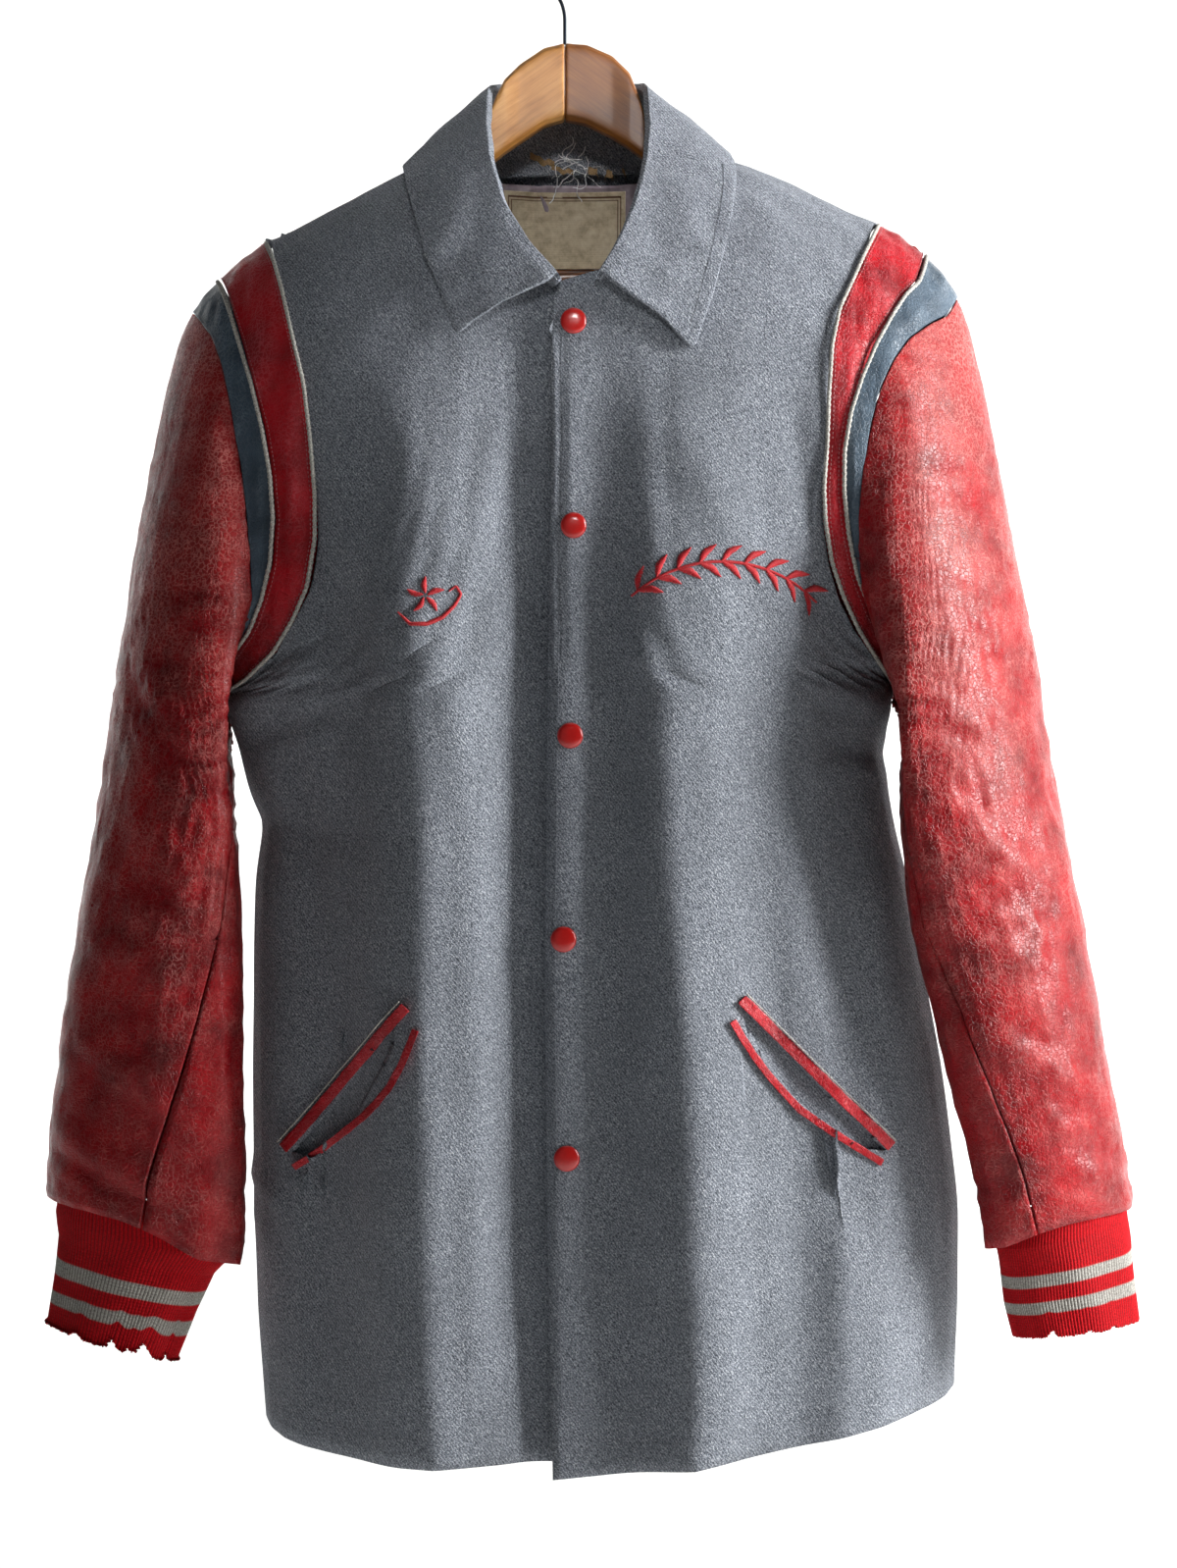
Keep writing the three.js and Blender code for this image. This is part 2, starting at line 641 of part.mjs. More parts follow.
// Colours and finishes
function finish(colour, roughness, metalness = 0) {
  return new THREE.MeshStandardMaterial({ color: colour, roughness, metalness });
}
const wool = finish(0x7d828a, 0.95);
const redLeather = finish(0xb5202b, 0.5);
const blueLeather = finish(0x4a5a6b, 0.5);
const paleCord = finish(0xb9b5ab, 0.9);
const redKnit = finish(0xc4121c, 0.9);
const snapEnamel = finish(0xc8281e, 0.3);
const satin = finish(0x7d7178, 0.45);
const labelCloth = finish(0xc8b48c, 0.8);
const hangerWood = finish(0xc9853f, 0.4);
const darkWood = finish(0x6b3a1c, 0.35);
const hookWire = finish(0x2a2f3a, 0.4, 0.8);

const jacket = new THREE.Group();

function add(name, geometry, material) {
  geometry.computeVertexNormals();
  const mesh = new THREE.Mesh(geometry, material);
  mesh.name = name;
  jacket.add(mesh);
  return mesh;
}

// Rows close to the shoulder's top are nearer each other, since the cloth turns there
function shoulderSteps(last) {
  return [0, 0.08, 0.3, 0.62, ...steps(1, last, last - 1)];
}

// The places round an armhole, down the front and up the back, where every piece has its points
const armholeRows = leftArmhole.length - 1;
const armholeDown = shoulderSteps(armholeRows).map((row) => row / armholeRows);
const armholeTurns = [...armholeDown, ...armholeDown.slice(1, -1).reverse().map((u) => 2 - u)];

// Front panels; the left one runs on under the right one at the opening
const leftRows = outerEdge(leftOpening, leftArmhole, 0);
const rightRows = outerEdge(rightOpening, rightArmhole, 0);
function underlap(x) {
  const part = Math.max(0, Math.min(1, (x - overlap.from) / (overlap.to - overlap.from)));
  return overlap.sink * part * part * (3 - 2 * part);
}
const leftFront = (s, t) => frontPoint(leftRows, s, t, leftHemDip, underlap);
const rightFront = (s, t) => frontPoint(rightRows, s, t, rightHemDip, null);
const panelEdge = 0.0016;
const across = steps(panelEdge, 1 - panelEdge, 11);

function frontPanel(surface, rows, away) {
  return wallOn(surface, across, shoulderSteps(rows.length - 1), woolWall, away);
}

// Back panel
const backTable = backSides.length;
const backRows = [...backRide, ...Array(backTable).fill(0)].map((ride, i) => {
  if (i < backRide.length) {
    const part = i / (backRide.length - 1);
    const out = backArmholeOut * Math.sin(Math.PI * part);
    const [left, right] = [leftArmhole[i], rightArmhole[i]];
    return {
      ride,
      zLeft: left.bodyZ,
      zRight: right.bodyZ,
      angleLeft: angleAcross(left.bodyX - out, left.bodyZ),
      angleRight: angleAcross(right.bodyX + out, right.bodyZ),
    };
  }
  const side = backSides[i - backRide.length];
  return {
    ride,
    zLeft: side.left,
    zRight: side.right,
    angleLeft: -Math.PI / 2,
    angleRight: Math.PI / 2,
  };
});
const backSurface = (s, t) => backPoint(backRows, s, t);

// Armhole bands between two seams, and the cords that lie on the seams
function band(side, from, to, grow = 0) {
  const { armhole, away } = side;
  const surface = (u, v) => seamPoint(armhole, from, u).lerp(seamPoint(armhole, to, u), v);
  const square = (u, v) => seamSquare(side, from, u).lerp(seamSquare(side, to, u), v).normalize();
  const lift = (u, v) => {
    const width = seamPoint(armhole, from, u).distanceTo(seamPoint(armhole, to, u));
    return grow + Math.min(bandPuff, width * 0.06) * Math.sin(Math.PI * v);
  };
  const extra = { lift, square, closed: true };
  const ends = grow > 0 ? [0, 0.5, 0.99] : [0.03, 0.5, 0.96];
  return wallOn(surface, armholeTurns, ends, leatherWall + 2 * grow, away, extra);
}

function piping(side, name, grow = 0) {
  const points = armholeTurns.map((u) => {
    const [one, other] = seamSquares(side, name, u);
    const halfAngle = Math.acos(Math.max(-1, Math.min(1, one.dot(other)))) / 2;
    const out = one.add(other).normalize();
    const lift = (pipingRadius + pipingLift) / Math.max(0.5, Math.cos(halfAngle));
    return { at: seamPoint(side.armhole, name, u).addScaledVector(out, lift), out };
  });
  return cordRing(points, 5, pipingRadius + grow);
}

const sides = {
  left: { armhole: leftArmhole, away: -1 },
  right: { armhole: rightArmhole, away: 1 },
};

// Sleeves: each row is one ring, from the armhole down to the leather's hem. The outer and inner
// edges are seen from the front; keep is how much of the armhole's own shape the ring still has
const leftSleeve = [
  { outX: -236, outZ: -249, inX: -231, inZ: -468, midY: 0, depth: 54, tilt: 0, keep: 1, keepBack: 1 },
  { outX: -245, outZ: -268, inX: -232, inZ: -482, midY: -2, depth: 58, tilt: 2, keep: 0.95, keepBack: 0.93 },
  { outX: -253, outZ: -300, inX: -229, inZ: -496, midY: -7, depth: 59, tilt: 5, keep: 0.86, keepBack: 0.72 },
  { outX: -262, outZ: -345, inX: -223, inZ: -510, midY: -14, depth: 58, tilt: 9, keep: 0.7, keepBack: 0.48 },
  { outX: -271, outZ: -400, inX: -214, inZ: -524, midY: -23, depth: 55, tilt: 13, keep: 0.5, keepBack: 0.27 },
  { outX: -279, outZ: -455, inX: -206, inZ: -545, midY: -31, depth: 51, tilt: 17, keep: 0.26, keepBack: 0.12 },
  { outX: -286, outZ: -510, inX: -201, inZ: -575, midY: -36, depth: 47, tilt: 19, keep: 0.12, keepBack: 0.04 },
  { outX: -293, outZ: -560, inX: -198, inZ: -610, midY: -40, depth: 45, tilt: 20, keep: 0.04, keepBack: 0 },
  { outX: -300, outZ: -605, inX: -197, inZ: -645, midY: -41, depth: 44, tilt: 20, keep: 0, keepBack: 0 },
  { outX: -307, outZ: -648, inX: -196, inZ: -682, midY: -42, depth: 43, tilt: 20, keep: 0, keepBack: 0 },
  { outX: -314, outZ: -690, inX: -196, inZ: -720, midY: -42, depth: 42, tilt: 20, keep: 0, keepBack: 0 },
  { outX: -320, outZ: -730, inX: -195, inZ: -755, midY: -42, depth: 41, tilt: 20, keep: 0, keepBack: 0 },
  { outX: -323, outZ: -768, inX: -194, inZ: -788, midY: -42, depth: 40, tilt: 20, keep: 0, keepBack: 0 },
  { outX: -324, outZ: -802, inX: -194, inZ: -815, midY: -42, depth: 39, tilt: 20, keep: 0, keepBack: 0 },
];
const rightSleeve = [
  { outX: 247, outZ: -240, inX: 221, inZ: -463, midY: 0, depth: 54, tilt: 0, keep: 1, keepBack: 1 },
  { outX: 255, outZ: -260, inX: 224, inZ: -480, midY: -2, depth: 58, tilt: 3, keep: 0.95, keepBack: 0.93 },
  { outX: 263, outZ: -294, inX: 223, inZ: -494, midY: -9, depth: 59, tilt: 8, keep: 0.88, keepBack: 0.72 },
  { outX: 271, outZ: -337, inX: 221, inZ: -506, midY: -18, depth: 58, tilt: 13, keep: 0.74, keepBack: 0.48 },
  { outX: 280, outZ: -388, inX: 215, inZ: -520, midY: -30, depth: 54, tilt: 18, keep: 0.57, keepBack: 0.27 },
  { outX: 289, outZ: -440, inX: 208, inZ: -541, midY: -40, depth: 50, tilt: 22, keep: 0.4, keepBack: 0.12 },
  { outX: 298, outZ: -495, inX: 205, inZ: -569, midY: -45, depth: 47, tilt: 24, keep: 0.24, keepBack: 0.04 },
  { outX: 306, outZ: -545, inX: 206, inZ: -600, midY: -48, depth: 45, tilt: 25, keep: 0.1, keepBack: 0 },
  { outX: 314, outZ: -592, inX: 210, inZ: -635, midY: -49, depth: 44, tilt: 25, keep: 0, keepBack: 0 },
  { outX: 322, outZ: -636, inX: 218, inZ: -668, midY: -49, depth: 43, tilt: 24, keep: 0, keepBack: 0 },
  { outX: 330, outZ: -680, inX: 227, inZ: -702, midY: -48, depth: 42, tilt: 23, keep: 0, keepBack: 0 },
  { outX: 338, outZ: -722, inX: 236, inZ: -738, midY: -46, depth: 41, tilt: 22, keep: 0, keepBack: 0 },
  { outX: 346, outZ: -765, inX: 247, inZ: -775, midY: -44, depth: 40, tilt: 21, keep: 0, keepBack: 0 },
  { outX: 354, outZ: -808, inX: 256, inZ: -812, midY: -42, depth: 39, tilt: 20, keep: 0, keepBack: 0 },
];
// The leather's hem hangs lower towards the body: where round the ring, how wide and how far
const leftHemSag = { at: 148, width: 46, by: -25 };
const rightHemSag = { at: 165, width: 50, by: -17 };
// The seams between top sleeve and under sleeve, in degrees round the ring from its outer edge
const leftSeams = [
  { ring: 0, front: 166.15, back: 193.85 },
  { ring: 2, front: 170, back: 198 },
  { ring: 4, front: 166, back: 216 },
  { ring: 6.2, front: 158, back: 228 },
  { ring: 9.5, front: 122, back: 232 },
  { ring: 13, front: 92, back: 232 },
];
const rightSeams = [
  { ring: 0, front: 166.15, back: 193.85 },
  { ring: 2, front: 171, back: 198 },
  { ring: 4, front: 168, back: 216 },
  { ring: 6.4, front: 164, back: 228 },
  { ring: 9.5, front: 137, back: 232 },
  { ring: 13, front: 114, back: 232 },
];

function ringPoint(rows, k, degrees) {
  const turn = (degrees * Math.PI) / 180;
  const [outX, outZ] = [column(rows, 'outX', k), column(rows, 'outZ', k)];
  const [inX, inZ] = [column(rows, 'inX', k), column(rows, 'inZ', k)];
  const along = Math.cos(turn);
  return new THREE.Vector3(
    (outX + inX) / 2 + ((outX - inX) / 2) * along,
    column(rows, 'midY', k) - column(rows, 'depth', k) * Math.sin(turn)
      + column(rows, 'tilt', k) * along,
    (outZ + inZ) / 2 + ((outZ - inZ) / 2) * along,
  );
}

// A point of a sleeve's outer surface
function sleevePoint(side, degrees, k) {
  const { sleeve, armhole, hemSag } = side;
  const point = ringPoint(sleeve, k, degrees);
  const seam = seamPoint(armhole, 'sleeve', degrees / 180);
  const own = seam.sub(ringPoint(sleeve, 0, degrees));
  const behind = Math.max(0, Math.min(1, 0.5 - 0.9 * Math.sin((degrees * Math.PI) / 180)));
  const keep = mix(column(sleeve, 'keep', k), column(sleeve, 'keepBack', k), behind);
  point.addScaledVector(own, Math.max(0, Math.min(1, keep)));
  const last = sleeve.length - 1;
  const near = Math.max(0, 1 - (last - k) / 1.6);
  const away = (degrees - hemSag.at) / hemSag.width;
  point.z += hemSag.by * near * Math.exp(-away * away);
  return point;
}

const sleeveRings = [0.06, 0.5, 1, 2, 3, 4, 5, 6, 8, 10, 12, 13];

// A sleeve half between its two seams; part runs from 0 to 1 round it
function sleeveHalf(side, upper, grow = 0) {
  const { seams, sleeve, away } = side;
  const surface = (part, k) => {
    const at = rowAt(seams, 'ring', Math.max(0, Math.min(sleeve.length - 1, k)));
    const front = column(seams, 'front', at);
    const back = column(seams, 'back', at);
    const degrees = upper ? mix(back - 360, front, part) : mix(front, back, part);
    return sleevePoint(side, degrees, k);
  };
  const start = armholeTurns[armholeDown.length - 2] * 180;
  const span = upper ? 2 * start : 360 - 2 * start;
  const places = armholeTurns.map((u) => (u > 1 ? u * 180 - 360 : u * 180))
    .filter((degrees) => Math.abs(degrees) < start)
    .sort((one, other) => one - other)
    .map((degrees) => (degrees + start) / span);
  const edge = (upper ? 0.0012 : 0.01) * (grow > 0 ? -0.5 : 1);
  const lift = () => grow;
  const columnsAt = upper ? places : [0.25, 0.5, 0.75];
  const square = (part, k) => {
    const at = rowAt(seams, 'ring', Math.max(0, k));
    const [front, back] = [column(seams, 'front', at), column(seams, 'back', at)];
    const degrees = upper ? mix(back - 360, front, part) : mix(front, back, part);
    const own = squareTo((d, t) => sleevePoint(side, d, t), degrees, k, 1.5, 0.05).multiplyScalar(away);
    const near = Math.max(0, 1 - k / 0.5);
    return own.lerp(seamSquare(side, 'sleeve', degrees / 180), near).normalize();
  };
  return wallOn(surface, [edge, ...columnsAt, 1 - edge], sleeveRings,
    leatherWall + 2 * grow, away, { square, lift });
}

// Cuffs: the first ring is gathered inside the leather's hem, the last is the cuff's edge
const leftCuff = [
  { outX: -317, outZ: -811, inX: -205, inZ: -835, midY: -42, depth: 34, tilt: 16 },
  { outX: -315, outZ: -826, inX: -216, inZ: -846, midY: -42, depth: 31, tilt: 14 },
  { outX: -321, outZ: -878, inX: -239, inZ: -898, midY: -42, depth: 27, tilt: 10 },
];
const rightCuff = [
  { outX: 349, outZ: -815, inX: 264, inZ: -829, midY: -42, depth: 34, tilt: 16 },
  { outX: 351, outZ: -829, inX: 267, inZ: -842, midY: -42, depth: 31, tilt: 14 },
  { outX: 355, outZ: -877, inX: 275, inZ: -884, midY: -42, depth: 27, tilt: 10 },
];
const cuffRibs = 54;
const ribHeight = 0.9;
// Worn away places of the cuffs' edges: where round the ring, how wide and how deep
const leftCuffWear = [
  { at: 96, width: 4, deep: 6 },
  { at: 124, width: 7, deep: 8 },
  { at: 64, width: 5, deep: 3 },
  { at: 150, width: 3, deep: 4 },
];
const rightCuffWear = [
  { at: 118, width: 4, deep: 4 },
  { at: 60, width: 4, deep: 2 },
];

// A ribbed tube: the outer rings have two points a rib, the plain inner ones a quarter as many
function ribbedTube(outer, inner) {
  const [many, few] = [outer[0].length, inner[0].length];
  const ratio = many / few;
  const vertices = [...outer.flat(), ...inner.flat()];
  const start = outer.length * many;
  const triangles = [];
  const out = (i, j) => i * many + (j % many);
  const within = (i, j) => start + i * few + (j % few);
  for (let i = 0; i < outer.length - 1; i += 1) {
    for (let j = 0; j < many; j += 1) {
      triangles.push(out(i, j), out(i + 1, j), out(i + 1, j + 1), out(i, j), out(i + 1, j + 1), out(i, j + 1));
    }
  }
  for (let i = 0; i < inner.length - 1; i += 1) {
    for (let j = 0; j < few; j += 1) {
      triangles.push(within(i, j), within(i + 1, j + 1), within(i + 1, j));
      triangles.push(within(i, j), within(i, j + 1), within(i + 1, j + 1));
    }
  }
  const rim = (i, k, flip) => {
    for (let j = 0; j < many; j += 1) {
      const tri = [out(i, j), out(i, j + 1), within(k, Math.floor(j / ratio))];
      triangles.push(...(flip ? tri : tri.reverse()));
    }
    for (let j = 0; j < few; j += 1) {
      const tri = [out(i, (j + 1) * ratio), within(k, j + 1), within(k, j)];
      triangles.push(...(flip ? tri : tri.reverse()));
    }
  };
  rim(0, 0, true);
  rim(outer.length - 1, inner.length - 1, false);
  return outwardFacing(solid(vertices, triangles));
}

function cuffPoint(side, degrees, k) {
  const point = ringPoint(side.cuff, k, degrees);
  const near = Math.max(0, k - side.cuff.length + 2);
  for (const wear of side.cuffWear) {
    const away = (degrees - wear.at) / wear.width;
    point.z += wear.deep * near * Math.exp(-away * away);
  }
  return point;
}

function cuffGeometry(side) {
  const around = steps(0, 360, cuffRibs * 2).slice(0, -1);
  const rings = [0, 1, 2];
  const inside = (degrees) => {
    const k = side.sleeve.length - 1.12;
    const surface = (d, t) => sleevePoint(side, d, t);
    const normal = squareTo(surface, degrees, k, 0.5).multiplyScalar(side.away);
    return sleevePoint(side, degrees, k).addScaledVector(normal, -leatherWall - seamGap - side.cuffInset);
  };
  const outwards = (degrees, k) => {
    const surface = (d, t) => ringPoint(side.cuff, t, d);
    return squareTo(surface, degrees, k, 0.5, 0.1).multiplyScalar(side.away);
  };
  const outer = [around.map((d) => inside(d))];
  for (const k of rings) {
    outer.push(around.map((d, j) => cuffPoint(side, d, k)
      .addScaledVector(outwards(d, k), j % 2 === 0 ? ribHeight : 0)));
  }
  const few = around.filter((_, j) => j % 4 === 0);
  const inner = [few.map((d) => inside(d).addScaledVector(outwards(d, 0), -knitWall))];
  for (const k of rings) {
    inner.push(few.map((d) => cuffPoint(side, d, k).addScaledVector(outwards(d, k), -knitWall)));
  }
  return ribbedTube(outer, inner);
}

Object.assign(sides.left, { sleeve: leftSleeve, seams: leftSeams, hemSag: leftHemSag });
Object.assign(sides.right, { sleeve: rightSleeve, seams: rightSeams, hemSag: rightHemSag });
Object.assign(sides.left, { cuffInset: 2.9, cuff: leftCuff, cuffWear: leftCuffWear });
Object.assign(sides.right, { cuffInset: 1.8, cuff: rightCuff, cuffWear: rightCuffWear });

// Room for the pipings, cut from the pieces that they lie between
for (const side of Object.values(sides)) {
  side.bodyRoom = piping(side, 'body', seamGap);
  side.bandRoom = piping(side, 'pipe', seamGap);
}

add('front_left', cutBy(frontPanel(leftFront, leftRows, 1), [sides.left.bodyRoom]), wool);
add('front_right', cutBy(frontPanel(rightFront, rightRows, -1), [sides.right.bodyRoom]), wool);
const wholeBack = wallOn(backSurface, steps(panelEdge / 2, 1 - panelEdge / 2, 16),
  shoulderSteps(backRows.length - 1), woolWall, 1);
add('back', cutBy(wholeBack, [sides.left.bodyRoom, sides.right.bodyRoom]), wool);

for (const [name, side] of Object.entries(sides)) {
  const rooms = [side.bodyRoom, side.bandRoom];
  add(`band_red_${name}`, cutBy(band(side, 'body', 'pipe'), rooms), redLeather);
  add(`band_blue_${name}`, cutBy(band(side, 'pipe', 'sleeve'), rooms), blueLeather);
  add(`piping_body_${name}`, piping(side, 'body'), paleCord);
  add(`piping_band_${name}`, piping(side, 'pipe'), paleCord);
  const bands = [band(side, 'body', 'pipe', seamGap), band(side, 'pipe', 'sleeve', seamGap)];
  const topRoom = sleeveHalf(side, true, 2 * seamGap);
  const under = cutBy(sleeveHalf(side, false), [...rooms, ...bands, topRoom]);
  const top = cutBy(sleeveHalf(side, true), [...rooms, ...bands, under]);
  add(`sleeve_top_${name}`, top, redLeather);
  add(`sleeve_under_${name}`, under, redLeather);
  add(`cuff_${name}`, cuffGeometry(side), redKnit);
}

// Collar: a row is a place round the neck, from the image-left front over the back to the right
// front. The seam and the lower edge lie on the body, before it (face 1) or behind it (face -1);
// the roll is the fold at the collar's top
const collarRows = [
  { face: 1, seamX: -8, seamZ: -243, rollX: -5, rollY: -101, rollZ: -240, edgeX: -66, edgeZ: -276 },
  { face: 1, seamX: -26, seamZ: -233, rollX: -21, rollY: -96, rollZ: -221, edgeX: -75, edgeZ: -251 },
  { face: 1, seamX: -49, seamZ: -210, rollX: -38, rollY: -84, rollZ: -193, edgeX: -85, edgeZ: -223 },
  { face: 1, seamX: -64, seamZ: -187, rollX: -46, rollY: -66, rollZ: -163, edgeX: -92, edgeZ: -197 },
  { face: 1, seamX: -72, seamZ: -167, rollX: -49, rollY: -42, rollZ: -137, edgeX: -98, edgeZ: -177 },
  { face: 1, seamX: -74, seamZ: -150, rollX: -49, rollY: -16, rollZ: -113, edgeX: -101, edgeZ: -163 },
  { face: 0, seamX: -74, seamZ: -149, rollX: -49, rollY: -4, rollZ: -106, edgeX: -100, edgeZ: -153 },
  { face: -1, seamX: -72, seamZ: -149, rollX: -48, rollY: 8, rollZ: -102, edgeX: -98, edgeZ: -160 },
  { face: -1, seamX: -60, seamZ: -149, rollX: -42, rollY: 26, rollZ: -97, edgeX: -82, edgeZ: -164 },
  { face: -1, seamX: -40, seamZ: -149, rollX: -30, rollY: 38, rollZ: -99, edgeX: -55, edgeZ: -166 },
  { face: -1, seamX: -14, seamZ: -149, rollX: -11, rollY: 43, rollZ: -101, edgeX: -18, edgeZ: -166 },
  { face: -1, seamX: 14, seamZ: -149, rollX: 11, rollY: 43, rollZ: -101, edgeX: 18, edgeZ: -166 },
  { face: -1, seamX: 40, seamZ: -149, rollX: 31, rollY: 38, rollZ: -99, edgeX: 55, edgeZ: -165 },
  { face: -1, seamX: 62, seamZ: -149, rollX: 43, rollY: 26, rollZ: -97, edgeX: 84, edgeZ: -163 },
  { face: -1, seamX: 74, seamZ: -148, rollX: 49, rollY: 8, rollZ: -101, edgeX: 101, edgeZ: -158 },
  { face: 0, seamX: 76, seamZ: -148, rollX: 51, rollY: -4, rollZ: -106, edgeX: 103, edgeZ: -151 },
  { face: 1, seamX: 76, seamZ: -149, rollX: 51, rollY: -16, rollZ: -113, edgeX: 104, edgeZ: -161 },
  { face: 1, seamX: 75, seamZ: -165, rollX: 52, rollY: -42, rollZ: -139, edgeX: 104, edgeZ: -178 },
  { face: 1, seamX: 67, seamZ: -186, rollX: 49, rollY: -64, rollZ: -168, edgeX: 101, edgeZ: -200 },
  { face: 1, seamX: 54, seamZ: -208, rollX: 42, rollY: -82, rollZ: -196, edgeX: 95, edgeZ: -228 },
  { face: 1, seamX: 38, seamZ: -226, rollX: 32, rollY: -95, rollZ: -220, edgeX: 87, edgeZ: -257 },
  { face: 1, seamX: 22, seamZ: -235, rollX: 21, rollY: -101, rollZ: -239, edgeX: 77, edgeZ: -285 },
];
const collarRoll = 4.6;
const collarOff = 1.2;

function collarStation(a) {
  const value = (name) => column(collarRows, name, a);
  const onFace = (x, z, depth) => {
    const facing = value('face');
    const share = Math.min(1, Math.abs(facing));
    const there = onBody(x, z, facing < 0 ? -1 : 1);
    there.y = there.y * share - (facing < 0 ? -1 : 1) * depth * Math.max(0.5, share);
    there.z += 0.5 * depth * (1 - share);
    return there;
  };
  const lap = value('seamX') < 0 && value('face') > 0 ? underlap(value('seamX')) : 0;
  const seam = onFace(value('seamX'), value('seamZ'), -woolWall - seamGap - lap);
  const edge = onFace(value('edgeX'), value('edgeZ'), collarWall + collarOff);
  const roll = new THREE.Vector3(value('rollX'), value('rollY'), value('rollZ'));
  return { seam, roll, edge };
}

// The collar's visible side: up the stand, over the roll and down the fall
function collarPoint(a, v) {
  const { seam, roll, edge } = collarStation(a);
  const outward = edge.clone().sub(seam);
  outward.z = 0;
  outward.normalize();
  const stand = roll.clone().addScaledVector(outward, -collarRoll * 0.7);
  stand.z -= collarRoll;
  const fall = roll.clone().addScaledVector(outward, collarRoll * 1.2);
  fall.z -= collarRoll;
  const middle = fall.clone().lerp(edge, 0.5);
  const bow = outward.clone();
  bow.z += 0.7;
  middle.addScaledVector(bow.normalize(), 3);
  const path = [seam, seam.clone().lerp(stand, 0.5), stand, roll, fall, middle, edge];
  const at = Math.max(0, Math.min(path.length - 1.001, v));
  const i = Math.floor(at);
  return path[i].clone().lerp(path[i + 1], v - i);
}

const collarColumns = steps(0, collarRows.length - 1, collarRows.length - 1);
const collarGrid = [0, 1, 2, 3, 4, 5, 6];
// The stand's rows lie inside the panels, the fall's rows outside them
const standRows = 2;
const fallRow = 4;
const standRoom = 0.9;
const fallRoom = 2.3;
// Only the panels' faces above this height are near the collar, and only this close do they push it
const neckLow = -330;
const pushReach = 12;
const pushRounds = 4;
// The shoulder's rim faces: nearer than this to the middle plane and steeper than this
const rimDepth = 14;
const rimSlope = 0.5;

// The faces of the panels near the neck that look out of the body, or into it
function neckFaces(meshes, outwards) {
  const faces = [];
  const [a, b, c, normal, middle] = [0, 0, 0, 0, 0].map(() => new THREE.Vector3());
  for (const { geometry } of meshes) {
    const place = geometry.attributes.position;
    const order = geometry.index.array;
    for (let i = 0; i < order.length; i += 3) {
      [a, b, c].forEach((corner, k) => corner.fromBufferAttribute(place, order[i + k]));
      if (Math.max(a.z, b.z, c.z) > neckLow) {
        const face = new THREE.Triangle(a.clone(), b.clone(), c.clone());
        face.getNormal(normal);
        face.getMidpoint(middle);
        const away = middle.clone().sub(new THREE.Vector3(middle.x * 0.6, 0, middle.z - 60));
        const rim = Math.abs(middle.y) < rimDepth && Math.abs(normal.z) < rimSlope;
        if (!rim && normal.dot(away) * (outwards ? 1 : -1) > 0) {
          faces.push({ face, normal: normal.clone() });
        }
      }
    }
  }
  return faces;
}

// How far to push a point so that it is clear of the faces
function pushOff(point, faces, room) {
  const near = new THREE.Vector3();
  let best = { distance: Infinity };
  for (const { face, normal } of faces) {
    face.closestPointToPoint(point, near);
    const distance = near.distanceTo(point);
    if (distance < best.distance) {
      best = { distance, normal, height: point.clone().sub(near).dot(normal) };
    }
  }
  const short = room - best.height;
  return short > 0 && best.distance < pushReach ? best.normal.clone().multiplyScalar(short) : null;
}

function collarGeometry(panels) {
  const outer = collarGrid.map((v) => collarColumns.map((a) => collarPoint(a, v)));
  const offset = () => outer.map((row, i) => row.map((point, j) => {
    const above = outer[Math.max(0, i - 1)][j];
    const below = outer[Math.min(outer.length - 1, i + 1)][j];
    const left = row[Math.max(0, j - 1)];
    const right = row[Math.min(row.length - 1, j + 1)];
    const normal = right.clone().sub(left).cross(below.clone().sub(above)).normalize();
    return point.clone().addScaledVector(normal, -collarWall);
  }));
  const [outFaces, inFaces] = [neckFaces(panels, true), neckFaces(panels, false)];
  for (let turn = 0; turn < pushRounds; turn += 1) {
    const inner = offset();
    outer.forEach((row, i) => row.forEach((point, j) => {
      const stand = i < standRows;
      if (stand || i >= fallRow) {
        const push = pushOff(inner[i][j], stand ? inFaces : outFaces, stand ? standRoom : fallRoom);
        if (push) {
          point.add(push);
        }
      }
    }));
  }
  return { outer, inner: offset() };
}

// The collar's stand with the seam's gap round it, for cutting the panels' neck edges
function standTool({ outer, inner }) {
  const grown = (rows, others) => rows.slice(0, fallRow).map((row, i) => row.map((point, j) => (
    point.clone().addScaledVector(point.clone().sub(others[i][j]).normalize(), seamGap))));
  return wall(grown(outer, inner), grown(inner, outer));
}

const bodyPanels = jacket.children.filter((mesh) => /^(front|back)/.test(mesh.name));
const collar = collarGeometry(bodyPanels);
for (const panel of bodyPanels) {
  panel.geometry = cutBy(panel.geometry, [standTool(collar)]);
  panel.geometry.computeVertexNormals();
}
add('collar', cutBy(wall(collar.outer, collar.inner), bodyPanels.map((panel) => panel.geometry)), wool);

// Snaps down the opening
const snapPlaces = [
  { x: 5, z: -268 },
  { x: 5, z: -391 },
  { x: 3, z: -517 },
  { x: -1, z: -639 },
  { x: 1, z: -770 },
];
const snapRadius = 7.8;
const snapProfile = [
  { r: 0, h: 2.7 },
  { r: 0.55, h: 2.5 },
  { r: 0.85, h: 1.9 },
  { r: 1, h: 0.8 },
  { r: 0.97, h: 0.35 },
  { r: 0, h: 0.35 },
];
const snapRise = 0.5;
const snapSides = 10;
// The cap's lower edge: its share of the radius and its height
const snapFoot = { r: 0.97, h: 0.35 };

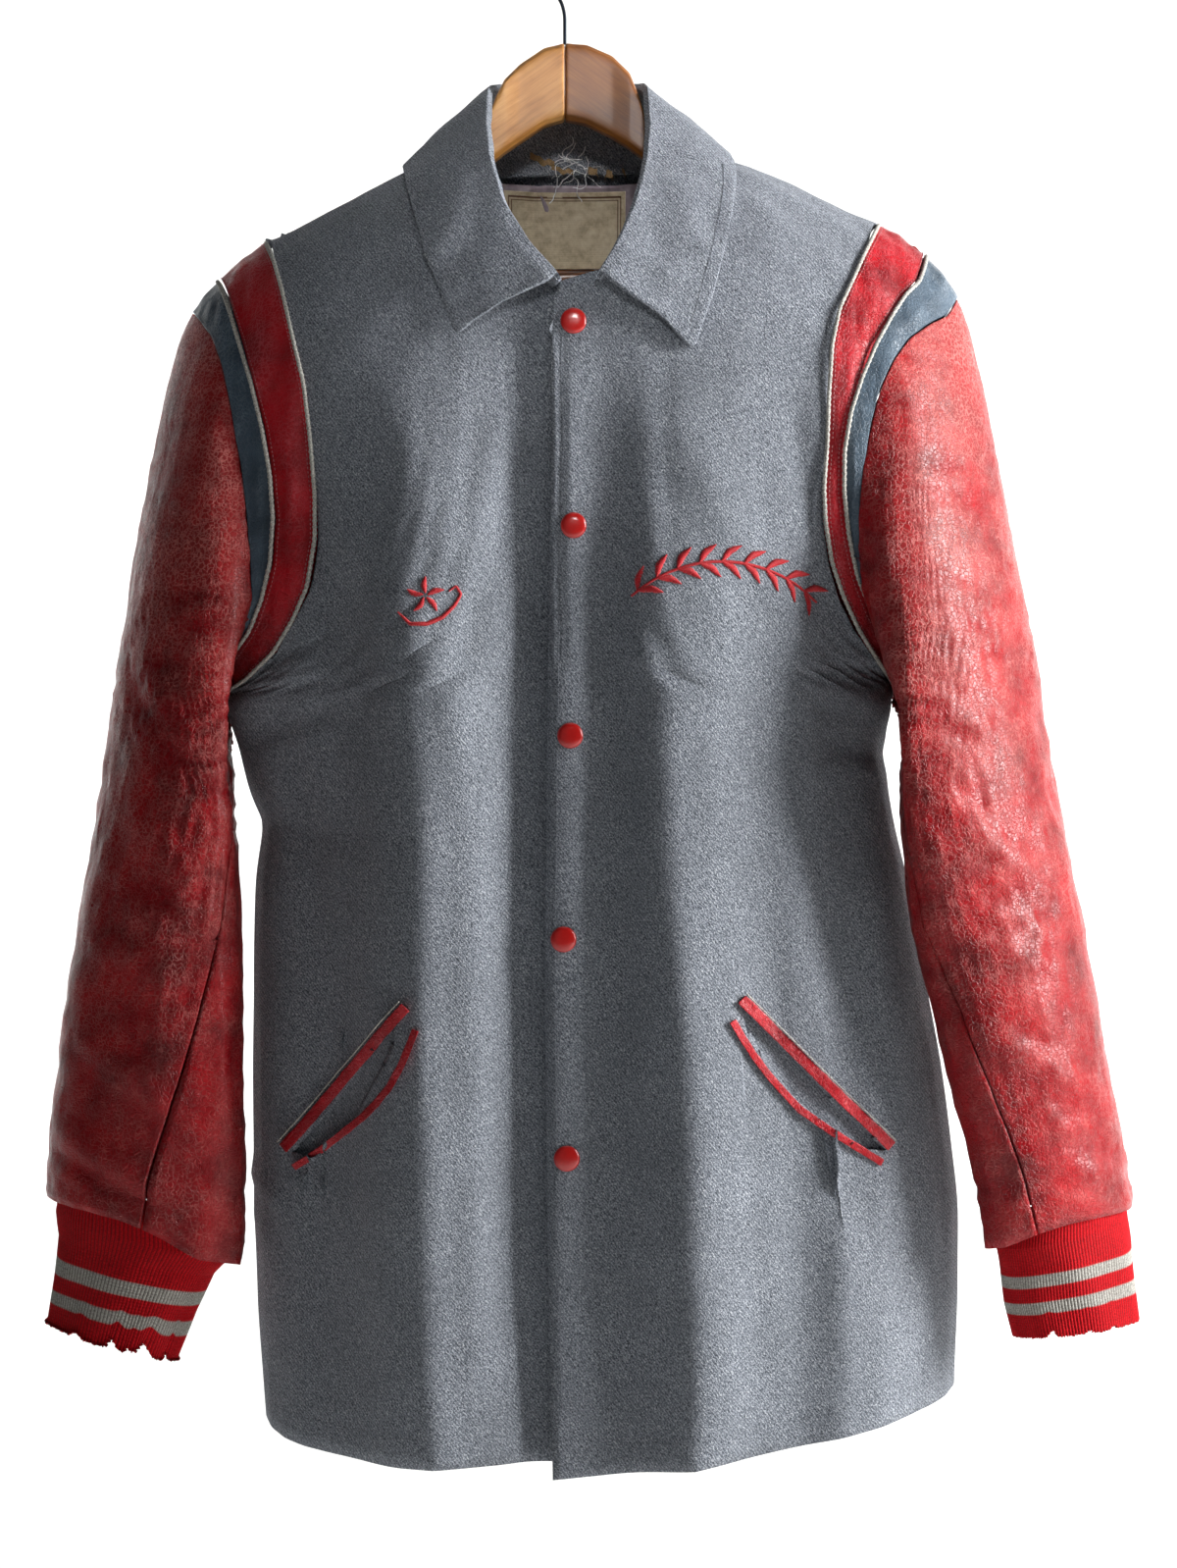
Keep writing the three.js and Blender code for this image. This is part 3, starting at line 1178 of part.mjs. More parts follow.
function snap(place, panel) {
  const profile = snapProfile.map(({ r, h }) => new THREE.Vector2(r * snapRadius, h));
  const geometry = stripped(new THREE.LatheGeometry(profile, snapSides));
  geometry.rotateX(Math.PI);
  const around = steps(0, 2 * Math.PI, 8).map((turn) => seatOn(
    panel,
    place.x + snapRadius * snapFoot.r * Math.cos(turn),
    place.z + snapRadius * snapFoot.r * Math.sin(turn),
  ));
  geometry.translate(place.x, Math.min(...around) - snapRise + snapFoot.h, place.z);
  return outwardFacing(mergeVertices(geometry, 1e-3));
}

// Slanted pockets: a slit in the panel between an upper and a lower line, with a leather welt
// along the upper one, a leather lip along the lower one, a cord above and wool behind
const rightPocket = [
  { topX: 103, topZ: -677, lowX: 102, lowZ: -686 },
  { topX: 116, topZ: -690, lowX: 112, lowZ: -703 },
  { topX: 132, topZ: -706, lowX: 126, lowZ: -722 },
  { topX: 149, topZ: -723, lowX: 143, lowZ: -740 },
  { topX: 165, topZ: -739, lowX: 160, lowZ: -752 },
  { topX: 181, topZ: -754, lowX: 177, lowZ: -763 },
  { topX: 195, topZ: -768, lowX: 193, lowZ: -773 },
];
const leftPocket = [
  { topX: -92, topZ: -681, lowX: -91, lowZ: -691 },
  { topX: -104, topZ: -694, lowX: -98, lowZ: -710 },
  { topX: -117, topZ: -710, lowX: -109, lowZ: -729 },
  { topX: -131, topZ: -726, lowX: -123, lowZ: -744 },
  { topX: -145, topZ: -743, lowX: -138, lowZ: -757 },
  { topX: -159, topZ: -759, lowX: -153, lowZ: -769 },
  { topX: -171, topZ: -772, lowX: -168, lowZ: -779 },
];
const weltWide = 7;
const weltThick = 2.2;
const lipWide = 4.5;
const lipThick = 1.8;
const cordRadius = 1.1;
const cordGap = 1;
const pocketPlaces = 10;
// The slit stays this share of the gape from its upper line: less at its ends
const slitShare = 0.96;
const slitEndShare = 0.6;
// The lap of the welt and the lip over the slit, and of the facing behind the panel
const weltLap = 0.4;
const lipLap = -0.2;
const facingLap = 6;
// Well before and behind the jacket, for probes and cutting tools
const farBefore = -400;

const backwards = new THREE.Vector3(0, 1, 0);
const upwards = new THREE.Vector3(0, 0, 1);
const bothSides = new THREE.MeshBasicMaterial({ side: THREE.DoubleSide });

// The place on a panel's own faces straight behind a point seen from the front
function seatOn(mesh, x, z, fromInside = false) {
  const caster = new THREE.Raycaster(new THREE.Vector3(x, farBefore, z), backwards);
  const hits = caster.intersectObject(new THREE.Mesh(mesh.geometry, bothSides));
  if (hits.length < 2) {
    throw new Error(`no cloth at ${x}, ${z}`);
  }
  return fromInside ? hits[1].point.y : hits[0].point.y;
}

// A strip on a panel between two lines of points, off its outer face by a gap
function stripOn(seat, upper, lower, thickness, gap) {
  const inner = [upper, lower].map((line) => line.map(({ x, z }) => (
    new THREE.Vector3(x, seat(x, z) - gap, z))));
  const outer = inner.map((row) => row.map((p) => p.clone().setY(p.y - thickness)));
  return wall(outer, inner);
}

// A line of points beside another at a distance, up its own slope
function besideLine(points, distance) {
  return points.map((p, i) => {
    const last = points[Math.max(0, i - 1)];
    const next = points[Math.min(points.length - 1, i + 1)];
    const [dx, dz] = [next.x - last.x, next.z - last.z];
    const length = Math.hypot(dx, dz);
    const up = dx * Math.sign(dx) / length;
    const across = -dz * Math.sign(dx) / length;
    return { x: p.x + across * distance, z: p.z + up * distance };
  });
}

// The slit's prism, for cutting the panel
function slitTool(upper, lower) {
  const rings = [farBefore, 0].map((y) => [
    ...upper.map((p) => new THREE.Vector3(p.x, y, p.z)),
    ...lower.slice(1, -1).reverse().map((p) => new THREE.Vector3(p.x, y, p.z)),
  ]);
  return loft(rings);
}

function pocket(name, table, panel) {
  const at = (key, i) => mix(table[Math.floor(i)][key], table[Math.ceil(i)][key], i % 1);
  const rows = steps(0, table.length - 1, pocketPlaces).map((i) => (
    { topX: at('topX', i), topZ: at('topZ', i), lowX: at('lowX', i), lowZ: at('lowZ', i) }));
  const upper = rows.map((row) => ({ x: row.topX, z: row.topZ }));
  const lower = rows.map((row) => ({ x: row.lowX, z: row.lowZ }));
  const panelForward = panel.geometry.clone().translate(0, -seamGap, 0);
  const panelBackward = panel.geometry.clone().translate(0, seamGap, 0);
  const lowerCut = rows.map((row, i) => {
    const end = i === 0 || i === rows.length - 1;
    const share = end ? slitEndShare : slitShare;
    return { x: mix(row.topX, row.lowX, share), z: mix(row.topZ, row.lowZ, share) };
  });
  const seat = (x, z) => seatOn(panel, x, z);
  const weltLines = [besideLine(upper, weltWide), besideLine(upper, weltLap)];
  const lipLines = [besideLine(lower, lipLap), besideLine(lower, -lipWide)];
  const welt = stripOn(seat, ...weltLines, weltThick, seamGap);
  const lip = stripOn(seat, ...lipLines, lipThick, seamGap);
  const cordLine = besideLine(upper, weltWide + cordRadius + seamGap);
  const cord = loft(cordLine.map((p, i) => {
    const from = cordLine[Math.max(0, i - 1)];
    const to = cordLine[Math.min(cordLine.length - 1, i + 1)];
    const along = new THREE.Vector3(to.x - from.x, 0, to.z - from.z).normalize();
    const up = new THREE.Vector3(-along.z, 0, along.x);
    return steps(0, 2 * Math.PI, 5).slice(0, -1).map((turn) => new THREE.Vector3(
      p.x + up.x * cordRadius * Math.cos(turn),
      seat(p.x, p.z) - cordGap - cordRadius * (1 + Math.sin(turn)),
      p.z + up.z * cordRadius * Math.cos(turn),
    ));
  }));
  const behind = (x, z) => seatOn(panel, x, z, true) + seamGap;
  const facingUpper = besideLine(upper, facingLap).filter((_, i) => i % 2 === 0);
  const facingLower = besideLine(lower, -facingLap).filter((_, i) => i % 2 === 0);
  const facing = [0, 0.5, 1].map((share) => facingUpper.map((p, i) => {
    const [x, z] = [mix(p.x, facingLower[i].x, share), mix(p.z, facingLower[i].z, share)];
    return new THREE.Vector3(x, behind(x, z), z);
  }));
  const facingBack = facing.map((row) => row.map((p) => p.clone().setY(p.y + liningWall)));
  add(`pocket_welt_${name}`, cutBy(welt, [panelForward]), redLeather);
  add(`pocket_lip_${name}`, cutBy(lip, [panelForward]), redLeather);
  add(`pocket_cord_${name}`, cord, paleCord);
  add(`pocket_facing_${name}`, cutBy(wall(facing, facingBack), [panelBackward]), wool);
  panel.geometry = cutBy(panel.geometry, [slitTool(upper, lowerCut)]);
  panel.geometry.computeVertexNormals();
}

// Lining and label, only where they show inside the neck
function patchInside(mesh, xs, zs, gap, thickness) {
  const caster = (x, z) => {
    const hits = new THREE.Raycaster(new THREE.Vector3(x, 0, z), backwards).intersectObject(mesh);
    return hits[0].point.y - gap;
  };
  const inner = zs.map((z) => xs.map((x) => new THREE.Vector3(x, caster(x, z), z)));
  const outer = inner.map((row) => row.map((p) => p.clone().setY(p.y - thickness)));
  return wall(outer, inner);
}

// The hanger: two contoured arms that meet at a mitre, a bar and a wire hook
const leftArm = [
  { out: 0.2, top: -79, low: -127, forward: 0 },
  { out: 13, top: -82, low: -131, forward: 0 },
  { out: 28, top: -92, low: -141, forward: 0 },
  { out: 38, top: -102, low: -148, forward: -1 },
  { out: 43, top: -112, low: -152, forward: -1 },
  { out: 47, top: -122, low: -155, forward: -1 },
  { out: 57, top: -136, low: -163, forward: -2 },
  { out: 67, top: -149, low: -171, forward: -3 },
  { out: 77, top: -160, low: -178, forward: -4 },
  { out: 105, top: -172, low: -198, forward: -7 },
  { out: 135, top: -187, low: -221, forward: -11 },
  { out: 158, top: -199, low: -240, forward: -14 },
  { out: 176, top: -209, low: -241, forward: -17 },
];
const rightArm = [
  { out: 0.2, top: -79, low: -127, forward: 0 },
  { out: 14, top: -80, low: -130, forward: 0 },
  { out: 30, top: -87, low: -138, forward: 0 },
  { out: 41, top: -98, low: -145, forward: -1 },
  { out: 46, top: -110, low: -149, forward: -1 },
  { out: 50, top: -122, low: -152, forward: -1 },
  { out: 59, top: -136, low: -160, forward: -2 },
  { out: 69, top: -149, low: -168, forward: -3 },
  { out: 79, top: -160, low: -177, forward: -4 },
  { out: 108, top: -172, low: -198, forward: -7 },
  { out: 138, top: -186, low: -221, forward: -11 },
  { out: 160, top: -196, low: -240, forward: -14 },
  { out: 180, top: -205, low: -241, forward: -17 },
];
// How far under the cloth of the shoulders an arm's top stays
const armRoom = 0.6;
const armThick = 14;
const hangerCentre = -1;
const barRadius = 6;
const barForward = -13;
const barHeight = -229;
const barHalf = 160;
const wireRadius = 1.1;
const hookRadius = 20;
const hookSteps = 12;
const wireSides = 5;
const barSides = 12;
// The arms' edges are eased by this much
const armSoft = 3;
// The hook's turn from its stem to its open end, and the height where the stem starts to bend
const hookFrom = -0.72 * Math.PI;
const hookTo = 0.62 * Math.PI;
const bendFrom = -60;
const bendTo = -52;
const bendAside = 2;

// The height of the cloth's inside over a place of the hanger
function clothOver(x, y) {
  const caster = new THREE.Raycaster(new THREE.Vector3(x, y, -400), upwards);
  const panels = jacket.children.filter((mesh) => /^(front|back)/.test(mesh.name));
  const hits = panels.flatMap((mesh) => caster.intersectObject(new THREE.Mesh(mesh.geometry, bothSides)));
  return hits.length > 0 ? Math.min(...hits.map((hit) => hit.point.z)) : Infinity;
}

function hangerArmGeometry(table, direction) {
  const half = armThick / 2;
  const soft = armSoft;
  const rings = table.map((given) => {
    const x = hangerCentre + direction * given.out;
    const across = [-half, -half + soft, 0, half - soft, half];
    const cloth = Math.min(...across.map((y) => (
      clothOver(x, y + given.forward) + (Math.abs(y) === half ? soft : 0))));
    const row = { ...given, top: Math.min(given.top, cloth - armRoom) };
    const corner = [
      [-half, row.low + soft],
      [-half, row.top - soft],
      [-half + soft, row.top],
      [half - soft, row.top],
      [half, row.top - soft],
      [half, row.low + soft],
      [half - soft, row.low],
      [-half + soft, row.low],
    ];
    return corner.map(([y, z]) => new THREE.Vector3(x, y + row.forward, z));
  });
  return loft(rings);
}

function barGeometry(radius, half) {
  const geometry = new THREE.CylinderGeometry(radius, radius, half * 2, barSides, 1);
  geometry.rotateZ(Math.PI / 2);
  geometry.translate(hangerCentre, barForward, barHeight);
  return mergeVertices(stripped(geometry), 1e-3);
}

function stripped(geometry) {
  geometry.deleteAttribute('uv');
  geometry.deleteAttribute('normal');
  return geometry;
}

// The hook: a stem up from the wood, a half turn over the origin and an open end
function hookGeometry() {
  const centre = new THREE.Vector3(0, 0, -hookRadius);
  const points = [new THREE.Vector3(hangerCentre, 0, leftArm[0].top + seamGap)];
  points.push(new THREE.Vector3(hangerCentre, 0, bendFrom));
  points.push(new THREE.Vector3(hangerCentre - bendAside, 0, bendTo));
  const path = hookRadius + wireRadius;
  for (let i = 0; i <= hookSteps; i += 1) {
    const turn = mix(hookFrom, hookTo, i / hookSteps);
    points.push(new THREE.Vector3(Math.sin(-turn) * -path, 0, centre.z + Math.cos(turn) * path));
  }
  const rings = points.map((p, i) => {
    const last = points[Math.max(0, i - 1)];
    const next = points[Math.min(points.length - 1, i + 1)];
    const along = next.clone().sub(last).normalize();
    const side = backwards;
    const up = along.clone().cross(side).normalize();
    return steps(0, 2 * Math.PI, wireSides + 1).slice(0, -1).map((turn) => p.clone()
      .addScaledVector(side, wireRadius * Math.cos(turn))
      .addScaledVector(up, wireRadius * Math.sin(turn)));
  });
  return loft(rings);
}

const find = (name) => jacket.children.find((mesh) => mesh.name === name);
pocket('left', leftPocket, find('front_left'));
pocket('right', rightPocket, find('front_right'));
snapPlaces.forEach((place, i) => add(`snap_${i + 1}`, snap(place, find('front_right')), snapEnamel));

const liningXs = steps(-72, 74, 6);
const liningZs = [-158, -185, -215, -250, -300];
const liningGap = 1.6;
const labelXs = steps(-41, 38, 4);
const labelZs = [-162, -179, -196, -213];
const labelGap = 0.8;
add('neck_lining', patchInside(find('back'), liningXs, liningZs, liningGap, liningWall), satin);
const labelPatch = patchInside(find('neck_lining'), labelXs, labelZs, labelGap, labelWall);
add('neck_label', labelPatch, labelCloth);

const barRoom = barGeometry(barRadius + seamGap, barHalf + seamGap);
add('hanger_arm_left', cutBy(hangerArmGeometry(leftArm, -1), [barRoom]), hangerWood);
add('hanger_arm_right', cutBy(hangerArmGeometry(rightArm, 1), [barRoom]), hangerWood);
add('hanger_bar', barGeometry(barRadius, barHalf), darkWood);
add('hanger_hook', hookGeometry(), hookWire);

export default jacket;
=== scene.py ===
import math
import random

import bpy
import numpy as np
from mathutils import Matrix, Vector, noise
from mathutils.bvhtree import BVHTree


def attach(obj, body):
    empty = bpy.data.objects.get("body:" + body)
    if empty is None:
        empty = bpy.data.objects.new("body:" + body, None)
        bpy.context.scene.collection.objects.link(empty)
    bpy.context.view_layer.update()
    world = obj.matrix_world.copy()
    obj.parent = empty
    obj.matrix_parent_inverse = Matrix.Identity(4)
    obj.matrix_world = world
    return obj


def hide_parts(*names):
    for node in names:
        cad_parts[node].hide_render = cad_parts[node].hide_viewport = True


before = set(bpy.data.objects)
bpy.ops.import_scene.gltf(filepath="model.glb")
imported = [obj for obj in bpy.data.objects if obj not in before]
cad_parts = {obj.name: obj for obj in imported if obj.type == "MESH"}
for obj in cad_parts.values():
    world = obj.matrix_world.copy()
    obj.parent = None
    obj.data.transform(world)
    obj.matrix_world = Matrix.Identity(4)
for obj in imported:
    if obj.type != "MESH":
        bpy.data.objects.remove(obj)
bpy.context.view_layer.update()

mm = 0.001
dice = random.Random(7)


# sRGB hex to the linear colour that the shaders take
def linear(code):
    parts = [int(code[i:i + 2], 16) / 255 for i in (1, 3, 5)]
    return tuple(c / 12.92 if c <= 0.04045 else ((c + 0.055) / 1.055) ** 2.4 for c in parts) + (1.0,)


# One node with its settings; a value may be a socket of another node
def addNode(tree, kind, settings=None, inputs=None):
    node = tree.nodes.new(kind)
    for key, value in (settings or {}).items():
        setattr(node, key, value)
    for key, value in (inputs or {}).items():
        if isinstance(value, bpy.types.NodeSocket):
            tree.links.new(value, node.inputs[key])
        else:
            node.inputs[key].default_value = value
    return node


def newMaterial(name, shaderValues):
    material = bpy.data.materials.new(name)
    material.use_nodes = True
    tree = material.node_tree
    shader = tree.nodes["Principled BSDF"]
    for key, value in shaderValues.items():
        shader.inputs[key].default_value = value
    place = addNode(tree, "ShaderNodeTexCoord").outputs["Object"]
    return material, tree, shader, place


# Noise with cells of a real size in metres, from 0 to 1
def grain(tree, place, size, detail=2.0, rough=0.5, warp=0.0, stretch=(1, 1, 1)):
    at = addNode(tree, "ShaderNodeMapping", inputs={"Vector": place, "Scale": stretch}).outputs[0]
    return addNode(tree, "ShaderNodeTexNoise", inputs={
        "Vector": at, "Scale": 1 / size, "Detail": detail, "Roughness": rough, "Distortion": warp}).outputs["Fac"]


# A value run through a ramp of (place, grey or colour)
def ramp(tree, value, stops):
    node = addNode(tree, "ShaderNodeValToRGB", inputs={"Fac": value})
    bar = node.color_ramp
    while len(bar.elements) < len(stops):
        bar.elements.new(0.5)
    for element, (at, colour) in zip(bar.elements, stops):
        element.position = at
        element.color = linear(colour) if isinstance(colour, str) else (colour, colour, colour, 1)
    return node.outputs["Color"]


def blendColours(tree, share, one, other, how="MIX"):
    node = addNode(tree, "ShaderNodeMix", {"data_type": "RGBA", "blend_type": how}, {0: share})
    for index, value in ((6, one), (7, other)):
        if isinstance(value, bpy.types.NodeSocket):
            tree.links.new(value, node.inputs[index])
        else:
            node.inputs[index].default_value = linear(value) if isinstance(value, str) else value
    return node.outputs[2]


def reckon(tree, how, one, other=0.0):
    return addNode(tree, "ShaderNodeMath", {"operation": how}, {0: one, 1: other}).outputs[0]


# Bumps laid over each other, each a (height, distance in metres, strength)
def bumps(tree, shader, layers):
    normal = None
    for height, distance, strength in layers:
        inputs = {"Height": height, "Distance": distance, "Strength": strength}
        if normal is not None:
            inputs["Normal"] = normal
        normal = addNode(tree, "ShaderNodeBump", inputs=inputs).outputs[0]
    tree.links.new(normal, shader.inputs["Normal"])


def attribute(tree, name):
    return addNode(tree, "ShaderNodeAttribute", {"attribute_name": name}).outputs["Fac"]


# Mesh work: points and triangles as arrays
def nodeMesh(name):
    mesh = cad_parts[name].data
    mesh.calc_loop_triangles()
    points = np.zeros(len(mesh.vertices) * 3)
    mesh.vertices.foreach_get("co", points)
    points = points.reshape(-1, 3)
    faces = np.zeros(len(mesh.loop_triangles) * 3, int)
    mesh.loop_triangles.foreach_get("vertices", faces)
    keys, first, back = np.unique(np.round(points / 2e-6).astype(int), axis=0, return_index=True, return_inverse=True)
    faces = back.reshape(-1)[faces].reshape(-1, 3)
    good = (faces[:, 0] != faces[:, 1]) & (faces[:, 1] != faces[:, 2]) & (faces[:, 2] != faces[:, 0])
    return points[first], faces[good]


def used(points, faces):
    keep, back = np.unique(faces, return_inverse=True)
    return points[keep], back.reshape(faces.shape)


def faceNormals(points, faces):
    a, b, c = points[faces[:, 0]], points[faces[:, 1]], points[faces[:, 2]]
    normal = np.cross(b - a, c - a)
    return normal / np.maximum(np.linalg.norm(normal, axis=1, keepdims=True), 1e-12)


def pointNormals(points, faces):
    a, b, c = points[faces[:, 0]], points[faces[:, 1]], points[faces[:, 2]]
    flat = np.cross(b - a, c - a)
    normal = np.zeros_like(points)
    for k in range(3):
        for axis in range(3):
            normal[:, axis] += np.bincount(faces[:, k], flat[:, axis], len(points))
    return normal / np.maximum(np.linalg.norm(normal, axis=1, keepdims=True), 1e-12)


def edgesOf(faces):
    pairs = np.sort(np.concatenate([faces[:, [0, 1]], faces[:, [1, 2]], faces[:, [2, 0]]]), axis=1)
    return np.unique(pairs, axis=0, return_inverse=True, return_counts=True)


# The faces of a wall that look away from the middle of the form
def outerSkin(points, faces, wall, away):
    tree = BVHTree.FromPolygons(points.tolist(), faces.tolist())
    normals = faceNormals(points, faces)
    middles = points[faces].mean(axis=1)
    outward = away(middles)
    keep = []
    for i, (middle, normal) in enumerate(zip(middles, normals)):
        if np.dot(normal, outward[i]) <= 0:
            continue
        hit = tree.ray_cast(Vector(middle - normal * 2e-5), Vector(-normal), wall * 2.2)
        if hit[0] is not None:
            keep.append(i)
    kept = np.zeros(len(faces), bool)
    kept[keep] = True
    # Slivers that lie level with kept neighbours on two sides belong to the skin too
    _, index, _ = edgesOf(faces)
    sides = index.reshape(3, -1)
    for _ in range(3):
        total = np.zeros(sides.max() + 1)
        flat = np.zeros((sides.max() + 1, 3))
        for k in range(3):
            np.add.at(total, sides[k], kept)
            np.add.at(flat, sides[k], kept[:, None] * normals)
        beside = sum((total[sides[k]] > 0) & (np.sum(flat[sides[k]] * normals, axis=1) > 0.85) for k in range(3))
        kept |= beside >= 2
    return used(points, faces[kept])


# Each triangle into four, where an edge is longer than the limit into two
def refine(points, faces, times):
    for _ in range(times):
        edges, index, _ = edgesOf(faces)
        count = len(faces)
        middle = len(points) + index.reshape(-1)
        ab, bc, ca = middle[:count], middle[count:2 * count], middle[2 * count:]
        points = np.concatenate([points, points[edges].mean(axis=1)])
        a, b, c = faces.T
        faces = np.concatenate([np.stack(t, axis=1) for t in
                                ((a, ab, ca), (ab, b, bc), (ca, bc, c), (ab, bc, ca))])
    return points, faces


# Evens out facets without shrinking; sharp corners of the cut line stay
def relax(points, faces, rounds, cornerTurn=35):
    edges, _, counts = edgesOf(faces)
    rim = edges[counts == 1]
    onRim = np.zeros(len(points), bool)
    onRim[rim] = True
    inner = edges[~(onRim[edges[:, 0]] | onRim[edges[:, 1]])]
    mixed = edges[onRim[edges[:, 0]] ^ onRim[edges[:, 1]]]
    free = np.where(onRim[mixed[:, 0]], mixed[:, 1], mixed[:, 0])
    held = np.where(onRim[mixed[:, 0]], mixed[:, 0], mixed[:, 1])
    one = np.concatenate([inner[:, 0], inner[:, 1], free, rim[:, 0], rim[:, 1]])
    two = np.concatenate([inner[:, 1], inner[:, 0], held, rim[:, 1], rim[:, 0]])
    number = np.maximum(np.bincount(one, minlength=len(points)), 1)
    total = np.stack([np.bincount(one, points[two, k], len(points)) for k in range(3)], axis=1)
    last = np.zeros_like(points)
    last[one] = points[two]
    ahead, behind = last - points, points - (total - last)
    turn = np.sum(ahead * behind, axis=1) / np.maximum(
        np.linalg.norm(ahead, axis=1) * np.linalg.norm(behind, axis=1), 1e-12)
    free = ~(onRim & ((turn < math.cos(math.radians(cornerTurn))) | (number != 2)))
    for i in range(rounds * 2):
        share = 0.5 if i % 2 == 0 else -0.52
        mean = np.stack([np.bincount(one, points[two, k], len(points)) for k in range(3)], axis=1) / number[:, None]
        points = points + (share * free)[:, None] * (mean - points)
    return points


def smoothStep(value):
    value = np.clip(value, 0, 1)
    return value * value * (3 - 2 * value)


# The rise in metres of creases drawn on the front or back view: x and z of both ends, half width, rise, in mm
def creases(points, normals, rows, facing=-1):
    rise = np.zeros(len(points))
    flat = points[:, [0, 2]] / mm
    seen = np.clip(normals[:, 1] * facing * 2 + 0.6, 0, 1)
    for x1, z1, x2, z2, width, height in rows:
        start, along = np.array([x1, z1]), np.array([x2 - x1, z2 - z1])
        share = (flat - start) @ along / (along @ along)
        away = np.linalg.norm(flat - start - np.clip(share, 0, 1)[:, None] * along, axis=1)
        fade = smoothStep((share + 0.12) / 0.35) * smoothStep((1.12 - share) / 0.35)
        ridge = np.exp(-(away / width) ** 2) - 0.4 * np.exp(-((away - 1.8 * width) / (0.8 * width)) ** 2)
        rise += height * mm * fade * ridge * seen
    return rise


# Noise at points stretched to cells of the given sizes in metres
def noiseAt(points, sizes, octaves=2, seed=0.0):
    at = points / np.array(sizes) + seed
    return np.array([noise.fractal(Vector(p), 0.7, 2.0, octaves) for p in at])


def addObject(name, mesh, material, replaces=()):
    piece = bpy.data.objects.new(name, mesh)
    bpy.context.scene.collection.objects.link(piece)
    if material is not None:
        mesh.materials.append(material)
    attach(piece, "root")
    if replaces:
        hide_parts(*replaces)
    return piece


def meshOf(name, points, faces, values=None, smooth=True):
    mesh = bpy.data.meshes.new(name)
    mesh.from_pydata(np.asarray(points).tolist(), [], [list(f) for f in faces] if isinstance(faces, list) else faces.tolist())
    mesh.polygons.foreach_set("use_smooth", [smooth] * len(mesh.polygons))
    for key, array in (values or {}).items():
        mesh.attributes.new(key, "FLOAT", "POINT").data.foreach_set("value", np.asarray(array, np.float32))
    mesh.update()
    return mesh


# The cut edge turned in, so that a shell shows its cloth's thickness
def turnEdge(piece, thickness):
    edge = piece.modifiers.new("turned edge", "SOLIDIFY")
    edge.thickness = thickness
    edge.offset = -1
    edge.use_rim_only = True
    edge.use_even_offset = False


# A grid of points as quads, closed across or not
def gridFaces(rows, columns, closeRows=False, closeColumns=False):
    faces = []
    for i in range(rows if closeRows else rows - 1):
        for j in range(columns if closeColumns else columns - 1):
            a, b = i % rows * columns, (i + 1) % rows * columns
            k = (j + 1) % columns
            faces.append((a + j, a + k, b + k, b + j))
    return faces


# A tube along points, with a radius for each ring and place round it
def tube(path, radiusAt, sides, closed=False, up=(0, 1, 0.001)):
    path = np.asarray(path, float)
    ahead = np.roll(path, -1, axis=0) - np.roll(path, 1, axis=0)
    if not closed:
        ahead[0], ahead[-1] = path[1] - path[0], path[-1] - path[-2]
    ahead /= np.linalg.norm(ahead, axis=1, keepdims=True)
    side = np.cross(ahead, np.array(up))
    side /= np.linalg.norm(side, axis=1, keepdims=True)
    top = np.cross(side, ahead)
    turns = np.linspace(0, 2 * math.pi, sides, endpoint=False)
    length = np.concatenate([[0], np.cumsum(np.linalg.norm(np.diff(path, axis=0), axis=1))])
    radius = radiusAt(length[:, None], turns[None, :])
    points = (path[:, None, :] + radius[..., None] * (np.cos(turns)[None, :, None] * side[:, None, :]
                                                       + np.sin(turns)[None, :, None] * top[:, None, :]))
    faces = gridFaces(len(path), sides, closeRows=closed, closeColumns=True)
    if not closed:
        faces += [tuple(range(sides))[::-1], tuple((len(path) - 1) * sides + k for k in range(sides))]
    return points.reshape(-1, 3), faces


def resample(path, spacing, closed=False):
    path = np.asarray(path, float)
    if closed:
        path = np.concatenate([path, path[:1]])
    length = np.concatenate([[0], np.cumsum(np.linalg.norm(np.diff(path, axis=0), axis=1))])
    count = max(2, int(round(length[-1] / spacing)) + (0 if closed else 1))
    at = np.linspace(0, length[-1], count, endpoint=not closed)
    return np.stack([np.interp(at, length, path[:, k]) for k in range(3)], axis=1)


# A smooth curve through points, by rounding a finer polyline
def rounded(path, spacing, rounds=6, closed=False):
    path = resample(path, spacing, closed)
    for _ in range(rounds):
        before, after = np.roll(path, 1, axis=0), np.roll(path, -1, axis=0)
        mean = (before + after) / 2
        if not closed:
            mean[0], mean[-1] = path[0], path[-1]
        path = path * 0.5 + mean * 0.5
    return path


# Joins (points, faces) pairs into one
def joined(parts):
    points, faces, start = [], [], 0
    for some, those in parts:
        points.append(np.asarray(some))
        faces += [tuple(int(k) + start for k in f) for f in those]
        start += len(some)
    return np.concatenate(points), faces


shells = {}  # the finished outer meshes, for laying stitches and trim on them


def finishedShell(name, points, faces):
    shells[name] = BVHTree.FromPolygons(points.tolist(), faces.tolist())


# The place on a piece straight behind a point of the front view (or before one of the back view), in mm
def onShell(name, x, z, facing=-1):
    hit = shells[name].ray_cast(Vector((x * mm, facing * 0.6, z * mm)), Vector((0, -facing, 0)))
    if hit[0] is None:
        near = shells[name].find_nearest(Vector((x * mm, facing * 0.1, z * mm)))
        return np.array(near[0]), np.array(near[1])
    normal = np.array(hit[1])
    return np.array(hit[0]), normal if normal[1] * facing > 0 else -normal


